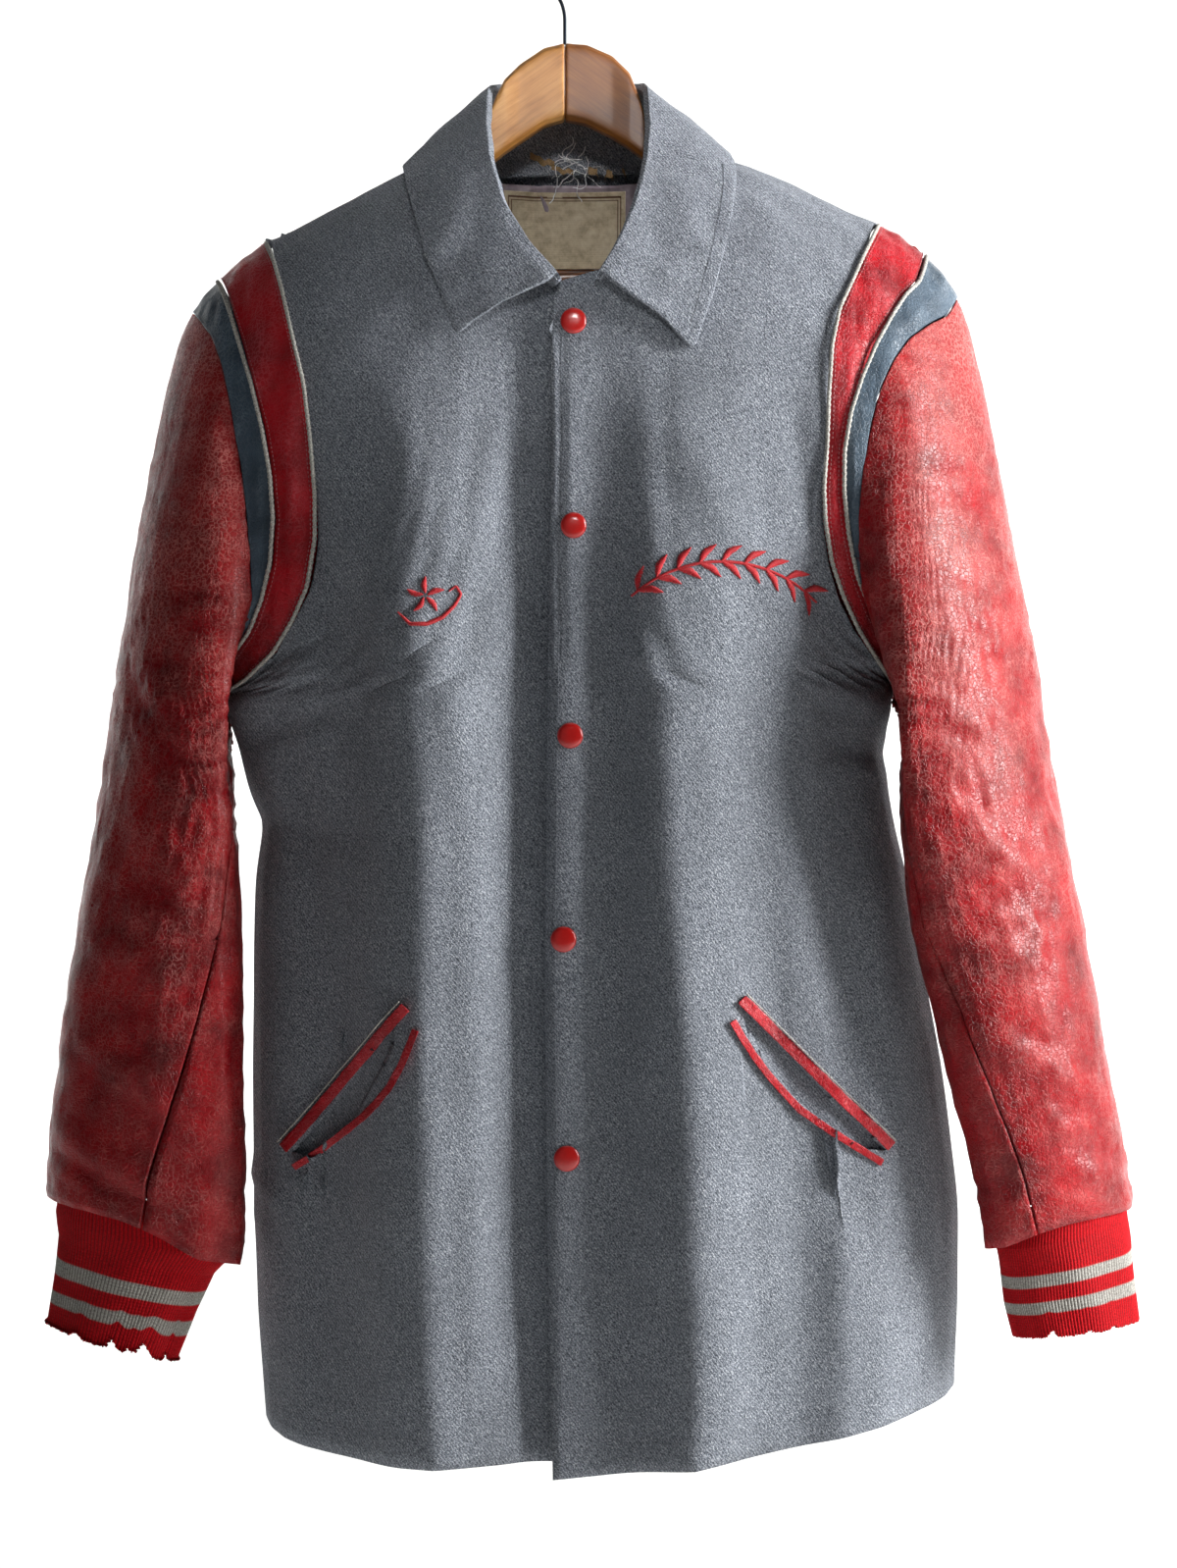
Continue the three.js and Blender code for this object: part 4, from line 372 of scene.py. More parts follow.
# Sewn stitches: short rounded threads laid along a path on a piece
def stitches(paths, look):
    parts = []
    for path, normals in paths:
        path = np.asarray(path)
        length = np.concatenate([[0], np.cumsum(np.linalg.norm(np.diff(path, axis=0), axis=1))])
        count = int(length[-1] / (look["pitch"] * mm))
        for i in range(count):
            ends = (np.array([i + 0.5 - look["share"] / 2, i + 0.5 + look["share"] / 2]) * look["pitch"] * mm)
            spots = np.array([[np.interp(at, length, path[:, k]) for k in range(3)]
                              for at in np.linspace(ends[0], ends[1], 4)])
            lift = np.array([np.interp(ends.mean(), length, normals[:, k]) for k in range(3)])
            rise = np.array([-0.2, 1, 1, -0.2])[:, None] * look["radius"] * mm
            slope = np.array([0.35, 1, 1, 0.35])[:, None]
            parts.append(tube(spots + rise * lift, lambda s, t: slope * look["radius"] * mm + 0 * t, 5))
    return joined(parts)


def pathOn(name, corners, spacing=3.0, facing=-1, off=0.0):
    corners = np.array(corners, float)
    flat = rounded(np.column_stack([corners[:, 0], np.zeros(len(corners)), corners[:, 1]]), spacing, 4)
    found = [onShell(name, p[0], p[2], facing) for p in flat]
    normals = np.array([f[1] for f in found])
    return np.array([f[0] for f in found]) + normals * off * mm, normals


# Materials
def makeWool():
    # Felted wool melton: matt, with pale and dark fibres mixed into short flecks and a faint slanting weave
    look = {"fleck": 1.15, "twill": 2.6, "cloud": 40}
    material, tree, shader, place = newMaterial("woolMelton", {
        "Roughness": 0.95, "Sheen Weight": 0.35, "Sheen Roughness": 0.5, "Specular IOR Level": 0.15})
    fleck = grain(tree, place, look["fleck"] * mm, 3.0, 0.75)
    fine = grain(tree, place, look["fleck"] * 0.45 * mm, 2.0, 0.7)
    cloud = grain(tree, place, look["cloud"] * mm, 2.0, 0.5)
    turned = addNode(tree, "ShaderNodeMapping", inputs={"Vector": place, "Rotation": (0, math.radians(38), 0)}).outputs[0]
    twill = addNode(tree, "ShaderNodeTexWave", {"wave_type": "BANDS", "bands_direction": "X"}, {
        "Vector": turned, "Scale": 1 / (look["twill"] * mm) / 2, "Distortion": 6.0, "Detail": 2.0,
        "Detail Scale": 3.0}).outputs["Fac"]
    mixed = reckon(tree, "ADD", reckon(tree, "MULTIPLY", fleck, 0.62), reckon(tree, "MULTIPLY", fine, 0.3))
    mixed = reckon(tree, "ADD", mixed, reckon(tree, "MULTIPLY", twill, 0.09))
    colour = ramp(tree, mixed, [(0.37, "#2d3138"), (0.46, "#656a72"), (0.55, "#8b9099"), (0.66, "#c8cbd0")])
    colour = blendColours(tree, ramp(tree, cloud, [(0.35, 0.0), (0.7, 0.25)]), colour, "#5d6167")
    tree.links.new(colour, shader.inputs["Base Color"])
    shader.inputs["Sheen Tint"].default_value = linear("#bcc0c6")
    bumps(tree, shader, [(fleck, 0.9 * mm, 0.8), (twill, 0.5 * mm, 0.4)])
    return material


def makeLeather(name, colours, rub, veinAndSheenColour, veinShare, rough):
    # Drum-dyed cowhide, finished glossy and then worn: the dye has gone from a net of fine creases, which
    # look paler and rub to pink on the folds. This pale pink is also a painted highlight, laid on most where the light
    # falls
    look = {"crease": 2.9, "grainSize": 0.9, "cloud": 34}
    material, tree, shader, place = newMaterial(name, {"Roughness": rough, "Specular IOR Level": 0.32, "IOR": 1.5})
    bent = addNode(tree, "ShaderNodeMix", {"data_type": "VECTOR"}, {0: 0.006})
    soft = addNode(tree, "ShaderNodeTexNoise", inputs={"Vector": place, "Scale": 1 / (4 * mm), "Detail": 3.0})
    tree.links.new(place, bent.inputs[4])
    tree.links.new(soft.outputs["Color"], bent.inputs[5])
    net = addNode(tree, "ShaderNodeTexVoronoi", {"feature": "DISTANCE_TO_EDGE"}, {
        "Vector": bent.outputs[1], "Scale": 1 / (look["crease"] * mm)}).outputs["Distance"]
    line = ramp(tree, net, [(0.03, 1.0), (0.14, 0.0)])
    cloud = grain(tree, place, look["cloud"] * mm, 3.0, 0.6)
    patch = grain(tree, place, 8 * mm, 3.0, 0.6)
    wearAndSheen = attribute(tree, "wearAndSheen")
    base = ramp(tree, cloud, [(0.3, colours[0]), (0.5, colours[1]), (0.72, colours[2])])
    spots = ramp(tree, patch, [(0.45, 0.0), (0.72, 0.35)])
    amount = reckon(tree, "MULTIPLY", reckon(tree, "ADD", spots, wearAndSheen), veinShare)
    share = reckon(tree, "MULTIPLY", line, amount)
    # The blend toward pale pink is real wear and also a painted highlight
    rubbedAndSheen = blendColours(tree, reckon(tree, "MULTIPLY", wearAndSheen, rub), base, veinAndSheenColour)
    colour = blendColours(tree, share, rubbedAndSheen, veinAndSheenColour)
    tree.links.new(colour, shader.inputs["Base Color"])
    tree.links.new(ramp(tree, patch, [(0.3, max(0.0, rough - 0.08)), (0.75, rough + 0.16)]), shader.inputs["Roughness"])
    fine = grain(tree, place, look["grainSize"] * mm, 2.0, 0.6)
    creased = reckon(tree, "SUBTRACT", 1.0, line)
    bumps(tree, shader, [(creased, 0.7 * mm, 0.7), (patch, 1.6 * mm, 0.35), (fine, 0.25 * mm, 0.35)])
    return material


def makeCord():
    # Twisted cotton cord, greyed: the slant of its strands shows as fine light and dark steps
    material, tree, shader, place = newMaterial("cottonCord", {"Roughness": 0.9, "Sheen Weight": 0.2})
    colour = ramp(tree, grain(tree, place, 0.8 * mm, 2.0), [(0.3, "#6f6c66"), (0.55, "#b5b2aa"), (0.75, "#dcdad3")])
    tree.links.new(colour, shader.inputs["Base Color"])
    bumps(tree, shader, [(grain(tree, place, 0.5 * mm, 2.0), 0.2 * mm, 0.6)])
    return material


def makeKnit():
    # Wool and nylon rib knit: matt red with fuzzy stitches along each rib, and two greyed white stripes; the grooves
    # between the ribs are painted dark as shade
    material, tree, shader, place = newMaterial("ribKnit", {"Roughness": 0.95, "Sheen Weight": 0.08, "Specular IOR Level": 0.15})
    fibre = grain(tree, place, 0.9 * mm, 3.0, 0.7)
    red = ramp(tree, fibre, [(0.3, "#780008"), (0.5, "#b70512"), (0.72, "#d3121f")])
    pale = ramp(tree, fibre, [(0.3, "#6f6c67"), (0.5, "#a5a29b"), (0.72, "#c9c6be")])
    colour = blendColours(tree, attribute(tree, "stripe"), red, pale)
    colour = blendColours(tree, attribute(tree, "grooveShade"), colour, "#2a0508")
    tree.links.new(colour, shader.inputs["Base Color"])
    stitch = reckon(tree, "SINE", reckon(tree, "MULTIPLY", attribute(tree, "stitch"), 2 * math.pi))
    bumps(tree, shader, [(stitch, 0.12 * mm, 0.6), (fibre, 0.5 * mm, 0.5)])
    return material


def makePlain(name, code, shaderValues, size=0.6, spread=0.18, height=0.15):
    # A fine even surface: its colour varies a little at the given size, and its bump catches the light
    material, tree, shader, place = newMaterial(name, shaderValues)
    fine = grain(tree, place, size * mm, 3.0, 0.6)
    dark = blendColours(tree, spread, code, "#000000")
    colour = blendColours(tree, ramp(tree, fine, [(0.35, 0.0), (0.65, 1.0)]), dark, code)
    tree.links.new(colour, shader.inputs["Base Color"])
    bumps(tree, shader, [(fine, height * mm, 0.5)])
    return material


def makeSatin():
    # Acetate satin lining: a smooth mauve-grey face whose sheen runs along its folds; its colour is painted lighter on
    # the crests of the folds, a painted sheen
    material, tree, shader, place = newMaterial("acetateSatin", {
        "Roughness": 0.42, "Sheen Weight": 0.3, "Anisotropic": 0.4})
    cloud = grain(tree, place, 14 * mm, 3.0, 0.6, stretch=(1, 1, 0.3))
    colour = ramp(tree, cloud, [(0.3, "#7d6f78"), (0.5, "#ab9ba4"), (0.75, "#cdbec7")])
    tree.links.new(colour, shader.inputs["Base Color"])
    bumps(tree, shader, [(cloud, 3 * mm, 0.5), (grain(tree, place, 0.6 * mm), 0.1 * mm, 0.4)])
    return material


def makeLabelCloth():
    # Woven rayon label, yellowed: fine ribs across it, brown woven border lines, soft stains
    look = {"rib": 0.7}
    material, tree, shader, place = newMaterial("wovenLabel", {"Roughness": 0.75, "Sheen Weight": 0.2})
    stain = grain(tree, place, 9 * mm, 4.0, 0.65)
    ribs = addNode(tree, "ShaderNodeTexWave", {"bands_direction": "Z"}, {
        "Vector": place, "Scale": 1 / (look["rib"] * mm) / 6.28, "Distortion": 1.0}).outputs["Fac"]
    cloth = ramp(tree, stain, [(0.3, "#b09c7c"), (0.5, "#d8c6a6"), (0.75, "#efe2c8")])
    colour = blendColours(tree, attribute(tree, "border"), cloth, "#5b3620")
    tree.links.new(colour, shader.inputs["Base Color"])
    bumps(tree, shader, [(ribs, 0.15 * mm, 0.5), (stain, 1.0 * mm, 0.4)])
    return material


def makeWood(name, dark, mid, light, rough, along):
    # Varnished beech: pale gold with short fine grain lines along the arm, glossy where it is rubbed
    material, tree, shader, place = newMaterial(name, {
        "Roughness": rough, "Coat Weight": 0.1, "Coat Roughness": 0.25, "IOR": 1.5})
    turned = addNode(tree, "ShaderNodeMapping", inputs={"Vector": place, "Rotation": (0, along, 0)}).outputs[0]
    streak = grain(tree, turned, 2.2 * mm, 4.0, 0.65, 0.4, stretch=(0.06, 1, 1))
    pore = grain(tree, turned, 0.7 * mm, 2.0, 0.6, stretch=(0.15, 1, 1))
    cloud = grain(tree, place, 30 * mm, 2.0)
    value = reckon(tree, "ADD", reckon(tree, "MULTIPLY", streak, 0.55), reckon(tree, "MULTIPLY", cloud, 0.45))
    colour = ramp(tree, value, [(0.32, dark), (0.5, mid), (0.68, light)])
    colour = blendColours(tree, ramp(tree, pore, [(0.62, 0.0), (0.72, 0.35)]), colour, dark)
    tree.links.new(colour, shader.inputs["Base Color"])
    bumps(tree, shader, [(pore, 0.12 * mm, 0.4)])
    return material


wool = makeWool()
redLeather = makeLeather("wornRedCowhide", ("#6a0209", "#8e0410", "#a80a14"), 0.1, "#ea8c84", 0.52, 0.35)
bandLeather = makeLeather("redCowhideBand", ("#7c040f", "#a80a18", "#c01826"), 0.08, "#dc6a72", 0.3, 0.36)
blueLeather = makeLeather("blueGreyCowhide", ("#33404b", "#465563", "#5a6b7a"), 0.06, "#a9bac9", 0.25, 0.38)
cord = makeCord()
knit = makeKnit()
# Baked enamel on pressed steel: glossy red under a clear coat, slightly uneven
enamel = makePlain("bakedEnamel", "#b81a17", {"Roughness": 0.28, "Coat Weight": 0.6, "Coat Roughness": 0.12}, 2.0, 0.12, 0.05)
satin = makeSatin()
labelCloth = makeLabelCloth()
leftWood = makeWood("goldenBeech", "#a4662a", "#c98a45", "#dda35c", 0.42, math.radians(35))
# The right arm takes a darker copy of the same beech: painted shade, for the arm that turns away from the key light
rightWoodShaded = makeWood("beechPaintedShade", "#6f3c12", "#8f5520", "#a8682f", 0.42, math.radians(-35))
barWood = makeWood("stainedBeech", "#3c1d0c", "#6e3d1b", "#95602f", 0.25, 0.0)
# Blued spring-steel wire: nearly black with a soft shine
wire = makePlain("bluedSteelWire", "#20242c", {"Metallic": 0.9, "Roughness": 0.35}, 0.5, 0.2, 0.03)
# Cotton thread in the cloth's own grey, and in red
greyThread = makePlain("greyCottonThread", "#8b9099", {"Roughness": 0.85}, 0.4, 0.4, 0.1)
redThread = makePlain("redRayonThread", "#d21222", {"Roughness": 0.5, "Sheen Weight": 0.2}, 0.5, 0.25, 0.1)
pinkThread = makePlain("fadedRedThread", "#c98286", {"Roughness": 0.8}, 0.4, 0.35, 0.1)
paleThread = makePlain("whiteCottonThread", "#f2f3f5", {"Roughness": 0.8}, 0.4, 0.2, 0.1)
tanCanvas = makePlain("frayedCottonTape", "#a98a62", {"Roughness": 0.9}, 0.8, 0.45, 0.3)
print("materials made")


# Body panels: the solids' outer faces, refined, evened and creased along listed lines
bodyLook = {
    "wall": 2.6, "times": 3, "rounds": 34,
    "ripple": 0.9, "rippleSize": (34, 34, 120),
}
# Creases of the front, x and z of both ends, half width and rise in mm
frontCreases = [
    (-98, -300, -86, -940, 38, 8.0), (84, -290, 92, -930, 32, 7.0), (24, -300, 28, -900, 13, -3.4),
    (-22, -300, -30, -930, 13, -3.4), (166, -360, 172, -800, 17, -4.5), (-150, -420, -150, -900, 26, -4.5),
    (-150, -330, -60, -520, 16, 2.6), (-168, -372, -96, -560, 13, -2.2), (-175, -420, -130, -640, 12, 2.0),
    (60, -330, 140, -420, 15, 1.6), (96, -360, 168, -452, 13, -1.8), (150, -300, 172, -440, 9, 1.8),
    (-110, -300, -80, -420, 14, 1.2), (40, -560, 70, -700, 15, 1.4), (118, -560, 150, -700, 15, 1.8),
    (-198, -786, -178, -806, 5, 2.2), (-190, -800, -176, -830, 5, -1.6), (-205, -500, -150, -470, 8, 2.2),
    (-198, -520, -140, -500, 7, -1.6), (200, -505, 150, -478, 8, 2.0), (205, -530, 160, -520, 7, -1.4),
    (-20, -300, -60, -400, 10, 0.8), (-40, -860, -30, -960, 13, 1.6), (90, -840, 96, -950, 14, 1.6),
]
# Along the closing edge of the front that laps over: a rolled edge and the groove of its stitching
placketCreases = [(-7, -255, -9, -600, 2.6, 1.3), (-9, -560, -6, -935, 2.6, 1.3),
                  (-1, -255, -3, -600, 1.5, -0.9), (-3, -560, 0, -935, 1.5, -0.9)]
backCreases = [
    (-150, -340, -70, -540, 16, 2.2), (120, -330, 60, -520, 15, 2.0), (-60, -250, 60, -256, 12, 1.4),
    (-190, -500, -120, -480, 9, 2.0), (195, -505, 130, -484, 9, 2.0), (0, -420, 20, -620, 18, 1.4),
    (-90, -640, -100, -880, 18, 1.8), (90, -620, 104, -880, 18, 1.8), (-10, -700, -4, -920, 15, -1.4),
]


def awayFromBody(middles):
    lift = 0.06 * np.clip((middles[:, 2] + 0.36) / 0.06, 0, 1)
    return np.stack([middles[:, 0] * 0.4, middles[:, 1], lift], axis=1)


# How far the drape lifts a point of the front or back, for the trim that lies on it
def drape(points, normals, rows, facing):
    sizes = np.array(bodyLook["rippleSize"]) * mm
    return creases(points, normals, rows, facing) + bodyLook["ripple"] * mm * noiseAt(points, sizes, 2, 3.1)


def bodyPanel(name, rows, facing):
    points, faces = outerSkin(*nodeMesh(name), bodyLook["wall"] * mm, awayFromBody)
    points, faces = refine(points, faces, bodyLook["times"])
    even = relax(points, faces, bodyLook["rounds"])
    # Beside a pocket's slit the cut triangles are long and thin, so they are evened less
    if name.startswith("front"):
        slit = nodeMesh("pocket_facing_" + name[6:])[0][:, [0, 2]]
        away = np.linalg.norm(points[:, None, [0, 2]] - slit[None], axis=2).min(axis=1)
        near = smoothStep((30 * mm - away) / (14 * mm))[:, None]
        even = near * relax(points, faces, 5) + (1 - near) * even
    points = even
    normals = pointNormals(points, faces)
    points = points + drape(points, normals, rows, facing)[:, None] * normals
    finishedShell(name, points, faces)
    return points, faces


panels = {
    "front_left": bodyPanel("front_left", frontCreases, -1),
    "front_right": bodyPanel("front_right", frontCreases + placketCreases, -1),
    "back": bodyPanel("back", backCreases, 1),
}
for name, (points, faces) in panels.items():
    piece = addObject("cloth_" + name, meshOf(name, points, faces), wool, [name])
    turnEdge(piece, bodyLook["wall"] * mm)
print("body panels made")

# Sleeves and armhole bands
sleeveLook = {
    "wall": 1.8, "times": 3, "rounds": 26,
    "crumple": 1.5, "crumpleSize": (60, 60, 17), "slack": 2.2, "slackSize": (45, 45, 90),
}


def middleLine(names):
    points = np.concatenate([nodeMesh(name)[0] for name in names])
    steps = np.arange(points[:, 2].min(), points[:, 2].max(), 0.02)
    rows = []
    for z in steps:
        near = points[np.abs(points[:, 2] - z) < 0.045]
        if len(near) < 2:
            continue
        rows.append((z, (near[:, 0].min() + near[:, 0].max()) / 2, (near[:, 1].min() + near[:, 1].max()) / 2))
    return np.array(rows)


def sleevePiece(side, part, rows):
    line = middleLine([f"sleeve_top_{side}", f"sleeve_under_{side}"])

    def away(middles):
        x = np.interp(middles[:, 2], line[:, 0], line[:, 1])
        y = np.interp(middles[:, 2], line[:, 0], line[:, 2])
        lift = 0.08 * np.clip((middles[:, 2] + 0.34) / 0.1, 0, 1)
        return np.stack([middles[:, 0] - x, middles[:, 1] - y, lift], axis=1)

    name = f"sleeve_{part}_{side}"
    points, faces = outerSkin(*nodeMesh(name), sleeveLook["wall"] * mm, away)
    points, faces = refine(points, faces, sleeveLook["times"])
    points = relax(points, faces, sleeveLook["rounds"])
    normals = pointNormals(points, faces)
    crumple = noiseAt(points, np.array(sleeveLook["crumpleSize"]) * mm, 3, 1.7 if side == "left" else 9.2)
    crumple = 0.55 - np.abs(crumple) * 1.6
    slack = noiseAt(points, np.array(sleeveLook["slackSize"]) * mm, 1, 4.4 if side == "left" else 6.1)
    low = np.clip((-0.26 - points[:, 2]) / 0.2, 0.25, 1)
    rise = low * mm * (sleeveLook["crumple"] * crumple + sleeveLook["slack"] * slack)
    rise += creases(points, normals, rows, -1) + 0.8 * creases(points, normals, rows, 1)
    points = points + rise[:, None] * normals
    # The pale pink crease share rises toward the top of the sleeve and on raised crumples: real wear, and also a
    # painted highlight on the lit upper sleeve
    high = smoothStep((points[:, 2] + 0.78) / 0.5)
    broad = noiseAt(points, (0.06, 0.06, 0.09), 3, 6.6)
    wearAndSheen = np.clip((0.06 + 0.5 * high) * (1 + 1.3 * broad) + 0.4 * crumple - 0.05, 0, 1)
    finishedShell(name, points, faces)
    piece = addObject("leather_" + name, meshOf(name, points, faces, {"wearAndSheen": wearAndSheen}), redLeather, [name])
    turnEdge(piece, sleeveLook["wall"] * mm)


sleeveCreases = {
    "left": [(-268, -560, -220, -600, 7, 2.2), (-275, -585, -225, -640, 6, -1.8), (-290, -640, -230, -668, 7, 2.0),
             (-300, -700, -235, -740, 8, 2.4), (-312, -760, -240, -790, 7, 2.2), (-262, -470, -225, -520, 7, 1.6)],
    "right": [(225, -560, 285, -600, 7, 2.0), (235, -640, 300, -655, 7, 2.2), (250, -700, 325, -735, 8, 2.4),
              (262, -765, 340, -785, 7, 2.2), (222, -500, 270, -520, 7, 1.8), (240, -610, 300, -625, 6, -1.8)],
}
for side in ("left", "right"):
    for part in ("top", "under"):
        sleevePiece(side, part, sleeveCreases[side])
print("sleeves made")


def bandPiece(side, colour, material):
    name = f"band_{colour}_{side}"
    points, faces = nodeMesh(name)
    centre = (points.min(axis=0) + points.max(axis=0)) / 2
    sign = -1 if side == "left" else 1

    def away(middles):
        out = middles - centre
        return np.stack([out[:, 0] * 0.3 + sign * 0.03, out[:, 1], out[:, 2]], axis=1)

    points, faces = outerSkin(points, faces, sleeveLook["wall"] * mm, away)
    points, faces = refine(points, faces, 3)
    points = relax(points, faces, 16)
    normals = pointNormals(points, faces)
    fold = noiseAt(points, np.array((12, 30, 60)) * mm, 2, 2.2)
    points = points + (1.1 * mm * fold)[:, None] * normals
    finishedShell(name, points, faces)
    wearAndSheen = np.clip(0.3 + fold, 0, 1)
    piece = addObject("leather_" + name, meshOf(name, points, faces, {"wearAndSheen": wearAndSheen}), material, [name])
    turnEdge(piece, sleeveLook["wall"] * mm)


for side in ("left", "right"):
    bandPiece(side, "red", bandLeather)
    bandPiece(side, "blue", blueLeather)
print("bands made")
# Trim that is a soft solid: the collar, pocket leather and wool behind the slits
cadFaces = {name: BVHTree.FromPolygons(*(part.tolist() for part in nodeMesh(name))) for name in ("front_left", "front_right")}


# Points of a piece that lies on a front, moved forwards as far as the draped shell lies before the plain form
def onDrape(points, panel, extra=0.0):
    samples = []
    for x, _, z in points:
        start, way = Vector((x, -0.6, z)), Vector((0, 1, 0))
        plain, draped = cadFaces[panel].ray_cast(start, way)[0], shells[panel].ray_cast(start, way)[0]
        if plain is not None and draped is not None and abs(draped[1] - plain[1]) < 0.011:
            samples.append((x, z, draped[1] - plain[1]))
    samples = np.array(samples)
    centre = points.mean(axis=0)

    def terms(x, z):
        x, z = (x - centre[0]) / 0.05, (z - centre[2]) / 0.05
        return np.stack([1 + 0 * x, x, z, x * z, x * x, z * z, x ** 3, z ** 3], axis=1)

    count = 8 if len(points) > 60 and np.ptp(points[:, 0]) > 0.03 else 1
    fit = np.linalg.lstsq(terms(samples[:, 0], samples[:, 1])[:, :count], samples[:, 2], rcond=None)[0]
    moved = points.copy()
    moved[:, 1] += terms(points[:, 0], points[:, 2])[:, :count] @ fit - extra * mm
    return moved


def softSolid(name, title, material, times, rounds, ripple=(0, 20), values=None, rows=(), rides=None, extra=0.0):
    points, faces = refine(*nodeMesh(name), times)
    points = relax(points, faces, rounds)
    if rides:
        points = onDrape(points, rides, extra)
    normals = pointNormals(points, faces)
    rise = ripple[0] * mm * noiseAt(points, (ripple[1] * mm,) * 3, 2, 5.3) + creases(points, normals, rows)
    points = points + rise[:, None] * normals
    finishedShell(name, points, faces)
    mesh = meshOf(title, points, faces, {k: make(points) for k, make in (values or {}).items()})
    return addObject(title, mesh, material, [name])


collarLook = {"inset": 7.0, "grooveWide": 1.6, "grooveDeep": 0.9}
# The topstitched line 7 mm inside the edge, seen from the front and from behind, in mm
collarLines = {
    "left": [(-16, -243), (-38, -256), (-63, -268), (-69, -249), (-78, -221), (-85, -197), (-91, -177), (-94, -163)],
    "right": [(25, -248), (48, -262), (74, -276), (80, -255), (88, -226), (94, -199), (97, -178), (97, -163)],
    "behind": [(-90, -154), (-60, -158), (-20, -160), (20, -160), (60, -159), (92, -153)],
}


def collarRows():
    rows = []
    for key in ("left", "right"):
        line = collarLines[key]
        for (x1, z1), (x2, z2) in zip(line, line[1:]):
            rows.append((x1, z1, x2, z2, collarLook["grooveWide"], -collarLook["grooveDeep"]))
    return rows


softSolid("collar", "wool_collar", wool, 3, 10,
          (0.7, 26),
          rows=collarRows() + [(-60, -180, -84, -236, 9, 1.2), (64, -176, 90, -250, 9, 1.2), (70, -230, 60, -245, 7, 1.0)])
print("collar made")

# Rib-knit cuffs: rows from the leather's hem down, outer and inner edges as seen from the front
cuffLook = {"ribs": 128, "steps": 4, "rows": 96, "rib": 0.55, "stitch": 1.7, "wall": 1.9}
cuffRings = {
    "left": [(-317, -811, -205, -835, -42, 34, 16), (-315, -826, -216, -846, -42, 31, 14),
             (-318, -852, -227, -868, -42, 28, 12), (-321, -878, -239, -898, -42, 27, 10)],
    "right": [(349, -815, 264, -829, -42, 34, 16), (351, -829, 267, -842, -42, 31, 14),
              (353, -852, 270, -864, -42, 28, 12), (355, -877, 275, -884, -42, 27, 10)],
}
# Places where the edge is worn away: degrees round the cuff, width and depth
cuffWear = {
    "left": [(96, 4, 6), (124, 7, 8), (64, 5, 3), (150, 3, 4), (110, 3, 3)],
    "right": [(118, 4, 4), (60, 4, 2), (84, 3, 1.6)],
}
cuffStripes = {"left": [(0.49, 0.61), (0.74, 0.84)], "right": [(0.4, 0.51), (0.65, 0.77)]}


def cuffPiece(side):
    look = cuffLook
    rings = np.array(cuffRings[side], float)
    first = rings[0].copy()
    first[[0, 2]] = first[[0, 2]] * 0.96 + first[[0, 2]].mean() * 0.04
    first[[1, 3]] += 14
    rings = np.vstack([first, rings])
    at = np.linspace(0, len(rings) - 1, look["rows"])
    rows = np.stack([np.interp(at, range(len(rings)), rings[:, k]) for k in range(7)], axis=1)
    turns = np.linspace(0, 2 * math.pi, look["ribs"] * look["steps"], endpoint=False)
    outX, outZ, inX, inZ, midY, depth, tilt = (rows[:, k:k + 1] for k in range(7))
    wave = np.cos(turns * look["ribs"])[None, :]
    slump = 0.6 * np.sin(turns * 7 + at[:, None] * 1.4) * np.clip(at[:, None] - 1, 0, 1)
    out = look["rib"] * (0.5 + 0.5 * wave) + slump
    half, high = (outX - inX) / 2, (outZ - inZ) / 2
    grow = 1 + out / np.abs(half)
    x = (outX + inX) / 2 + half * np.cos(turns) * grow
    y = midY - (depth + out) * np.sin(turns) + tilt * np.cos(turns)
    z = (outZ + inZ) / 2 + high * np.cos(turns)
    degrees = np.degrees(turns)[None, :]
    near = np.clip(at[:, None] - (len(rings) - 2), 0, 1)
    for place, width, deep in cuffWear[side]:
        z = z + deep * near * np.exp(-((degrees - place) / width) ** 2)
    z = z + near ** 6 * 0.8 * np.sin(degrees * 3.1) * np.sin(degrees * 0.37)
    points = np.stack([x, y, z], axis=2).reshape(-1, 3) * mm
    share = np.repeat(np.clip((at - 1) / (len(rings) - 2), 0, 1), len(turns))
    stripe = np.zeros(len(points))
    for start, end in cuffStripes[side]:
        stripe[(share > start) & (share < end)] = 1
    # Painted shade in the grooves between the ribs
    grooveShade = np.clip(-np.tile(wave[0], look["rows"]), 0, 1) * 0.75
    stitch = share * 68 / look["stitch"]
    mesh = meshOf("knit_cuff_" + side, points, gridFaces(look["rows"], len(turns), closeColumns=True),
                  {"stripe": stripe, "grooveShade": grooveShade, "stitch": stitch})
    piece = addObject("knit_cuff_" + side, mesh, knit, ["cuff_" + side])
    turnEdge(piece, look["wall"] * mm)


for side in ("left", "right"):
    cuffPiece(side)
print("cuffs made")

# Snap caps: domed, with a rolled edge
snapLook = {"radius": 7.8, "profile": [(0, 2.75), (0.3, 2.72), (0.55, 2.55), (0.75, 2.25), (0.88, 1.85), (0.96, 1.35),
                                       (1, 0.8), (0.985, 0.5), (0.95, 0.36), (0.6, 0.36)]}


